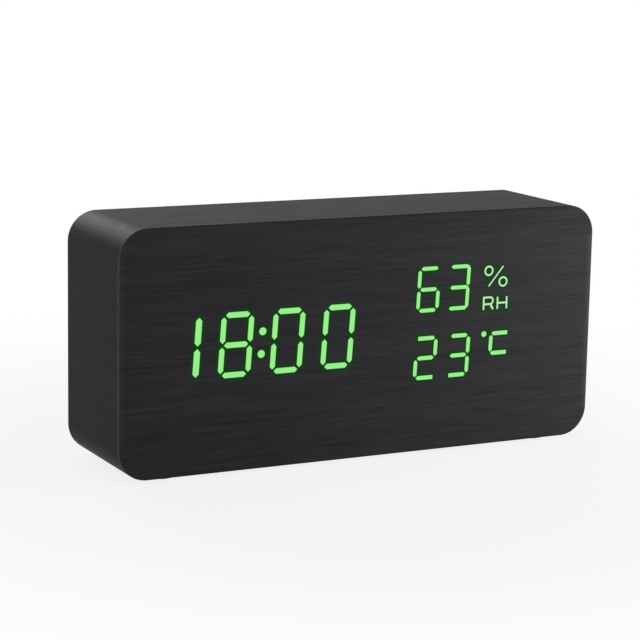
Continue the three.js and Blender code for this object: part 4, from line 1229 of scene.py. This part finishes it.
def makePowerInlet():
    x, y, z = spans("power_inlet")
    wall, base = powerInlet["wall"], y[0] + powerInlet["base"]
    shell = block("inlet_shell", x, y, z)
    roundSides(shell, powerInlet["corner"], powerInlet["cornerSteps"])
    carve(shell, punch(grown(x, -wall), grown(z, -wall), base, y[1], powerInlet["mouthFlare"],
                       powerInlet["corner"] - wall))
    finish(shell, plainSteel, "clock", "steel", "power_inlet")
    wide, thick = powerInlet["tongue"]
    reach = (base - powerInlet["tongueRoot"], y[1] - powerInlet["tongueStop"])
    tongue = block("inlet_tongue", around(sum(x) / 2, wide), reach, around(sum(z) / 2, thick))
    easeEdges(tongue, powerInlet["tongueEase"])
    finish(tongue, chipEpoxy, "clock", "chip_black")
    face = sum(z) / 2 + thick / 2
    pins = []
    for place in inRow(sum(x) / 2, powerInlet["pins"], powerInlet["pinPitch"]):
        pin = block("pin", around(place, powerInlet["pin"]), (reach[0], reach[1] - powerInlet["pinStop"]),
                    (face - powerInlet["pinRoot"], face + powerInlet["pinRise"]))
        easeEdges(pin, powerInlet["pinEase"])
        pins.append(pin)
    finish(gather("inlet_pins", pins), goldPlate, "clock", "steel", degrees=0)


makePowerInlet()
print("keys, knob and inlet made")


# Cells and their contacts

cell = {
    "nub": 1.9, "nubRise": 1.0, "nubFoot": 0.3, "nubSlope": 0.1, "nubEdge": 0.2, "edge": 0.45, "edgeSteps": 4,
    "curl": 0.95, "curlLip": 0.1, "curlDip": 0.05, "sink": 0.25, "plate": 3.5, "plateSlope": 0.15,
    "core": 0.3, "sides": 64, "bareLap": 0.02, "mark": 2.6, "markDepth": 0.04, "markSink": 0.01,
    "bands": 0.45, "plus": 38.5, "minus": 5.5, "volts": 17.5,
}


def cellProfile(radius, length):
    inner, sink, plate, nub = radius - cell["curl"], cell["sink"], cell["plate"], cell["nub"]
    top = length - cell["nubRise"]
    lip, dip, core = inner + cell["curlLip"], cell["curlDip"], cell["core"]
    rounded = shoulder(radius, top, cell["edge"], cell["edgeSteps"])
    return [
        (core, 0.0), (plate, 0.0), (plate + cell["plateSlope"], sink), (inner, sink), (lip, dip),
        *((reach, top - height) for reach, height in reversed(rounded)), *rounded,
        (lip, top - dip), (inner, top - sink), (nub + cell["nubFoot"], top - sink),
        (nub, top - cell["nubSlope"]), (nub, length - cell["nubEdge"]), (nub - cell["nubEdge"], length),
        (core, length),
    ]


def wrapRound(mark, centreY, centreZ, radius):  # lays flat lettering on the round jacket
    heights = [vert.co.z / mm for vert in mark.data.vertices]
    level = min(heights) + cell["bands"]
    openEdit(mark)
    while level < max(heights):
        selectAll()
        cutAcross(2, level)
        level += cell["bands"]
    closeEdit()
    for vert in mark.data.vertices:
        turn = (vert.co.z / mm - centreZ) / radius
        reach = vert.co.y / mm - centreY
        vert.co.y = (centreY + reach * math.cos(turn)) * mm
        vert.co.z = (centreZ + reach * math.sin(turn)) * mm


def makeCell(number):
    name = f"cell_{number}"
    x, y, z = spans(name)
    centreY, centreZ = sum(y) / 2, sum(z) / 2
    radius, length = (z[1] - z[0]) / 2, x[1] - x[0]
    start, way, turn = (x[0], 1, 0) if number % 2 else (x[1], -1, math.pi)  # each cell points the other way
    body = turned("dry_" + name, cellProfile(radius, length), (0, 0, 0), cell["sides"], "X")
    along = body.data.attributes.new("along", "FLOAT", "POINT")
    for vert, value in zip(body.data.vertices, along.data):
        value.value = vert.co.x / mm
    dress(body, cellJacket, plainSteel)
    for face in body.data.polygons:
        centre = face.center / mm
        onEnd = centre.x < cell["edge"] or centre.x > length - cell["nubRise"] - cell["edge"]
        if onEnd and centre.yz.length < radius - cell["curl"] + cell["bareLap"]:
            face.material_index = 1
    settle(body, (start, centreY, centreZ), (0, 0, turn))
    smooth(body, degrees=30)
    seat(body, "clock", "cell_jacket", name)
    marks = []
    face = centreY + radius + cell["markDepth"] / 2 - cell["markSink"]
    for words, place in (("+", cell["plus"]), ("–", cell["minus"]), ("1.5 V", cell["volts"])):
        mark = lettering(words, cell["mark"], (start + way * place, face, centreZ), cell["markDepth"])
        wrapRound(mark, centreY, centreZ, radius)
        marks.append(mark)
    finish(gather(name + "_marks", marks), printInk, "clock", "white_plastic", degrees=0)


for number in (1, 2, 3, 4):
    makeCell(number)

contactPlate = {
    "thickness": 0.5, "width": 8, "corner": 1.2, "edge": 0.1, "dimple": 1.6, "dimpleRise": 0.4,
    "dimpleRoot": 0.2, "dome": ((1, 0.3), (0.8, 0.8), (0.45, 1)), "springLength": 4.0, "springFoot": 3.3,
    "springTaper": 0.9, "turns": 3, "turnSteps": 28, "wire": 0.35, "tail": 2.4, "tailFrom": 5, "tailLap": 3.8,
    "cornerSteps": 5, "dimpleSides": 32,
}
contacts = {  # side of the tray, cells at their plus end, cells at their minus end
    "positive_contact": (1, (1,), ()), "upper_link": (-1, (2,), (1,)), "middle_link": (1, (3,), (2,)),
    "lower_link": (-1, (4,), (3,)), "negative_contact": (1, (), (4,)),
}


def makeDimple(place, side):
    rise, radius = contactPlate["dimpleRise"], contactPlate["dimple"]
    profile = [(radius, -contactPlate["dimpleRoot"])]
    profile += [(share * radius, level * rise) for share, level in contactPlate["dome"]]
    dimple = turned("dimple", profile, (0, 0, 0), contactPlate["dimpleSides"], "X")
    settle(dimple, place, (0, 0, math.pi if side > 0 else 0))
    return dimple


def makeSpring(place, side):
    steps = contactPlate["turns"] * contactPlate["turnSteps"]
    foot = contactPlate["thickness"] / 2
    points = []
    for step in range(steps + 1):
        share = step / steps
        turn = share * contactPlate["turns"] * 2 * math.pi
        radius = contactPlate["springFoot"] - contactPlate["springTaper"] * share
        reach = share * (contactPlate["springLength"] - contactPlate["wire"] + foot) - foot
        coil = (-side * reach, radius * math.cos(turn), radius * math.sin(turn))
        points.append([start + shift for start, shift in zip(place, coil)])
    return tube("spring", points, contactPlate["wire"], resolution=4)


def makeContact(name):
    side, plus, minus = contacts[name]
    x, y, z = spans(name)
    back = x[1] if side > 0 else x[0]
    face = back - side * contactPlate["thickness"]
    centreY = middle("cell_1")[1]
    plateX = sorted((back, face))
    plate = block("plate", plateX, around(centreY, contactPlate["width"]), z)
    roundSides(plate, contactPlate["corner"], contactPlate["cornerSteps"], axis=0)
    easeEdges(plate, contactPlate["edge"])
    parts = [plate]
    if y[0] < centreY - contactPlate["tailFrom"]:  # the tail that takes a lead
        tailY = (y[0], centreY - contactPlate["tailLap"])
        tail = block("tail", plateX, tailY, around(sum(z) / 2, contactPlate["tail"]))
        easeEdges(tail, contactPlate["edge"])
        parts.append(tail)
    for numbers, make in ((plus, makeDimple), (minus, makeSpring)):
        parts.extend(make((face, centreY, middle(f"cell_{number}")[2]), side) for number in numbers)
    finish(gather("sprung_" + name, parts), plainSteel, "clock", "steel", name)


for name in contacts:
    makeContact(name)
print("cells and contacts made")


# Leads from the tray to the control board, and the ribbon between the boards

lead = {"radius": 0.65, "lift": 0.1, "drop": 2.5, "reach": 4.0, "turn": 1.4, "shift": 4.0, "inset": 9.0}


def makeLead(name, contact, side, sleeve, slot):
    x, y, z = spans(contact)
    height, radius = middle("control_board")[2], lead["radius"]
    tailX, tailZ = x[1] - contactPlate["thickness"] / 2, side * (sum(z) / 2 - height)
    startY, endY = y[0] - lead["lift"], spans(name)[1][1]
    endX, endZ = spans("control_board")[0][0] + lead["inset"], tailZ - lead["shift"]
    deep = startY - lead["drop"]
    route = [
        (tailX, startY, tailZ), (tailX + radius, startY - lead["turn"], tailZ),
        (tailX + lead["reach"], deep, tailZ - radius), ((tailX + endX) / 2, deep, tailZ - lead["shift"] / 2),
        (endX - lead["reach"], deep + lead["turn"], endZ + radius),
        (endX - radius / 2, endY - lead["drop"], endZ), (endX, endY, endZ),
    ]
    points = throughPoints([Vector((px, py, height + side * pz)) for px, py, pz in route])
    finish(tube("sleeved_" + name, points, radius), sleeve, "clock", slot, name, degrees=50)


makeLead("positive_lead", "positive_contact", 1, redSleeve, "red_sleeve")
makeLead("negative_lead", "negative_contact", -1, blackSleeve, "black_sleeve")

ribbon = {"width": 11.0, "thickness": 0.5, "bow": 0.7, "steps": 36, "wires": 11}


def makeRibbon():
    x, y, _ = spans("display_ribbon")
    start, stop = (Vector((0, end, middle(board + "_ribbon_socket")[2]))
                   for end, board in zip(y, ("display", "control")))
    bow = Vector((0, ribbon["bow"] * (y[1] - y[0]), 0))
    knots = [start, start + bow, stop - bow, stop]
    line = []
    for step in range(ribbon["steps"] + 1):
        t = step / ribbon["steps"]
        weights = ((1 - t) ** 3, 3 * t * (1 - t) ** 2, 3 * t ** 2 * (1 - t), t ** 3)
        line.append(sum((knot * weight for knot, weight in zip(knots, weights)), Vector()))
    strips = []  # round wires side by side
    for place in inRow(x[0] + ribbon["width"] / 2, ribbon["wires"], ribbon["width"] / ribbon["wires"]):
        points = [point + Vector((place, 0, 0)) for point in line]
        strips.append(tube("strip", points, ribbon["thickness"] / 2, resolution=3))
    finish(gather("flat_ribbon", strips), greyRibbon, "clock", "grey_ribbon", "display_ribbon", degrees=60)


makeRibbon()
print("leads and ribbon made")


# What stays as the frame gives it, with eased edges and its own finish

insides = (
    (rawFibreboard, 0.2, ("front_board",)),
    (whitePlastic, 0.12, ("reflector_frame", "climate_sensor", "control_ribbon_socket",
                          "display_ribbon_socket", "set_plunger", "up_plunger", "down_plunger")),
    (boardGreen, 0.1, ("display_board", "control_board")),
    (chipEpoxy, 0.15, ("led_driver_chip", "processor", "set_switch", "up_switch", "down_switch", "buzzer")),
    (plainSteel, 0.12, ("quartz_crystal", "microphone")),
    (satinSteel, 0.12, ("sound_switch",)),
    (canBlue, 0.1, ("smoothing_capacitor",)),
)


def easeNode(node, width, steps=2, degrees=40):
    node.modifiers.new("weld", "WELD").merge_threshold = touch
    bevel = node.modifiers.new("bevel", "BEVEL")
    bevel.width = width * mm
    bevel.segments = steps
    bevel.limit_method = "ANGLE"
    bevel.angle_limit = math.radians(degrees)


for material, width, names in insides:
    for name in names:
        dress(nodes[name], material)
        easeNode(nodes[name], width)
print("insides dressed")

chipLeg = {
    "count": 9, "pitch": 1.0, "width": 0.38, "thickness": 0.16, "shoulder": 0.5, "splay": 0.15, "foot": 0.55,
    "lift": 0.02, "ease": 0.03,
}


def makeChipLegs(chip, board, facing):  # facing is 1 on the back of a board and -1 on its front
    x, y, z = spans(chip)
    level, pitch = sum(y) / 2, chipLeg["pitch"]
    sole = spans(board)[1][1 if facing > 0 else 0] + facing * (chipLeg["thickness"] / 2 + chipLeg["lift"])
    first = inRow(sum(x) / 2, chipLeg["count"], pitch)[0]
    rows = []
    for side, edge in ((-1, z[0]), (1, z[1])):
        dropSelection()
        bpy.ops.mesh.primitive_plane_add(size=1)
        leg = bpy.context.object
        leg.scale = (chipLeg["width"] * mm, 2 * chipLeg["shoulder"] * mm, 1)
        settle(leg, (first, level, edge), (math.pi / 2, 0, 0))
        reach = (edge + side * chipLeg["shoulder"]) * mm
        openEdit(leg, "EDGE")
        pick(leg, lambda line: all(abs(vert.co.z - reach) < touch for vert in line.verts), "edges")
        extrude(0, sole - level, side * chipLeg["splay"])
        extrude(0, 0, side * chipLeg["foot"])
        closeEdit()
        applyModifier(leg, "SOLIDIFY", thickness=chipLeg["thickness"] * mm, offset=0)
        easeEdges(leg, chipLeg["ease"], steps=1)
        applyModifier(leg, "ARRAY", count=chipLeg["count"], use_relative_offset=False,
                      use_constant_offset=True, constant_offset_displace=(pitch * mm, 0, 0))
        rows.append(leg)
    finish(gather(chip + "_legs", rows), plainSteel, "clock", "steel")


makeChipLegs("processor", "control_board", -1)
makeChipLegs("led_driver_chip", "display_board", 1)
print("chip legs made")


# Stage: floor, light and camera, with sizes in metres

stage = {
    "floorSize": 8, "floorColor": (0.86, 0.86, 0.86, 1), "floorRoughness": 0.9, "fadeFrom": 0.08,
    "fadeTo": 0.24, "nearWhite": 0.84, "worldLevel": 0.4,
}


def seenRays(tree):  # 1 where the camera sees the backdrop, straight or in metal or glass
    path = tree.nodes.new("ShaderNodeLightPath").outputs
    seen = mathNode(tree, "MAXIMUM", path["Is Camera Ray"], path["Is Glossy Ray"])
    return mathNode(tree, "MAXIMUM", seen, path["Is Transmission Ray"])


def makeFloor():
    dropSelection()
    bpy.ops.mesh.primitive_plane_add(size=stage["floorSize"])
    floor = bpy.context.object
    floor.name = "studio_floor"
    material, tree, shader = newMaterial("pale floor")
    setInputs(tree, shader, {
        "Base Color": stage["floorColor"], "Roughness": stage["floorRoughness"], "Specular IOR Level": 0})
    fade = addNode(tree, "ShaderNodeMapRange", **{
        "Value": vectorNode(tree, "LENGTH", objectPlace(tree))["Value"],
        "From Min": stage["fadeFrom"], "From Max": stage["fadeTo"],
        "To Min": stage["nearWhite"], "To Max": 1})
    fade.interpolation_type = "SMOOTHSTEP"
    white = addNode(tree, "ShaderNodeEmission", Strength=1)
    blend = tree.nodes.new("ShaderNodeMixShader")
    share = times(tree, seenRays(tree), fade.outputs["Result"])
    for socket, value in zip(blend.inputs, (share, shader.outputs[0], white.outputs[0])):
        feed(tree, socket, value)
    feed(tree, tree.nodes["Material Output"].inputs["Surface"], blend.outputs[0])
    dress(floor, material)


def makeWorld():
    world = bpy.data.worlds.new("studio")
    world.use_nodes = True
    bpy.context.scene.world = world
    tree = world.node_tree
    level = addNode(tree, "ShaderNodeMapRange", **{
        "Value": seenRays(tree), "To Min": stage["worldLevel"], "To Max": 1})
    setInputs(tree, tree.nodes["Background"], {"Color": (1, 1, 1, 1), "Strength": level.outputs["Result"]})


lamps = {
    "rim": {"place": (-0.1, 0.9, 0.45), "size": (0.5, 0.3), "watts": 3.7},
    "front": {"place": (0.05, -0.8, 0.03), "size": (0.7, 0.05), "watts": 1.4},
    "right": {"place": (0.30, -0.12, 0.025), "size": (0.12, 0.04), "watts": 1.4},
}


def makeLamps():
    target = (cadBox[0] + cadBox[1]) / 2
    for name, lamp in lamps.items():
        light = bpy.data.lights.new(name + " softbox", "AREA")
        light.shape = "RECTANGLE"
        light.size, light.size_y = lamp["size"]
        light.energy = lamp["watts"]
        holder = bpy.data.objects.new(name + "_softbox", light)
        holder.location = lamp["place"]
        holder.rotation_euler = (target - holder.location).to_track_quat("-Z", "Y").to_euler()
        holder.visible_camera = False
        bpy.context.scene.collection.objects.link(holder)


view = {
    "place": (-0.28935, -0.55117, 0.15542), "azimuth": -27.279, "elevation": 10.755, "roll": 1.085,
    "lens": 123.37, "sensor": 36,
}


def makeCamera():
    camera = bpy.data.cameras.new("camera")
    camera.lens = view["lens"]
    camera.sensor_width = view["sensor"]
    holder = bpy.data.objects.new("camera", camera)
    turn = Matrix.Rotation(math.radians(view["azimuth"]), 4, "Z")
    tilt = Matrix.Rotation(math.radians(90 - view["elevation"]), 4, "X")
    roll = Matrix.Rotation(math.radians(view["roll"]), 4, "Z")
    holder.matrix_world = Matrix.Translation(view["place"]) @ turn @ tilt @ roll
    bpy.context.scene.collection.objects.link(holder)
    bpy.context.scene.camera = holder


makeFloor()
makeWorld()
makeLamps()
makeCamera()
bpy.context.scene.view_settings.view_transform = "Standard"
print("stage set")
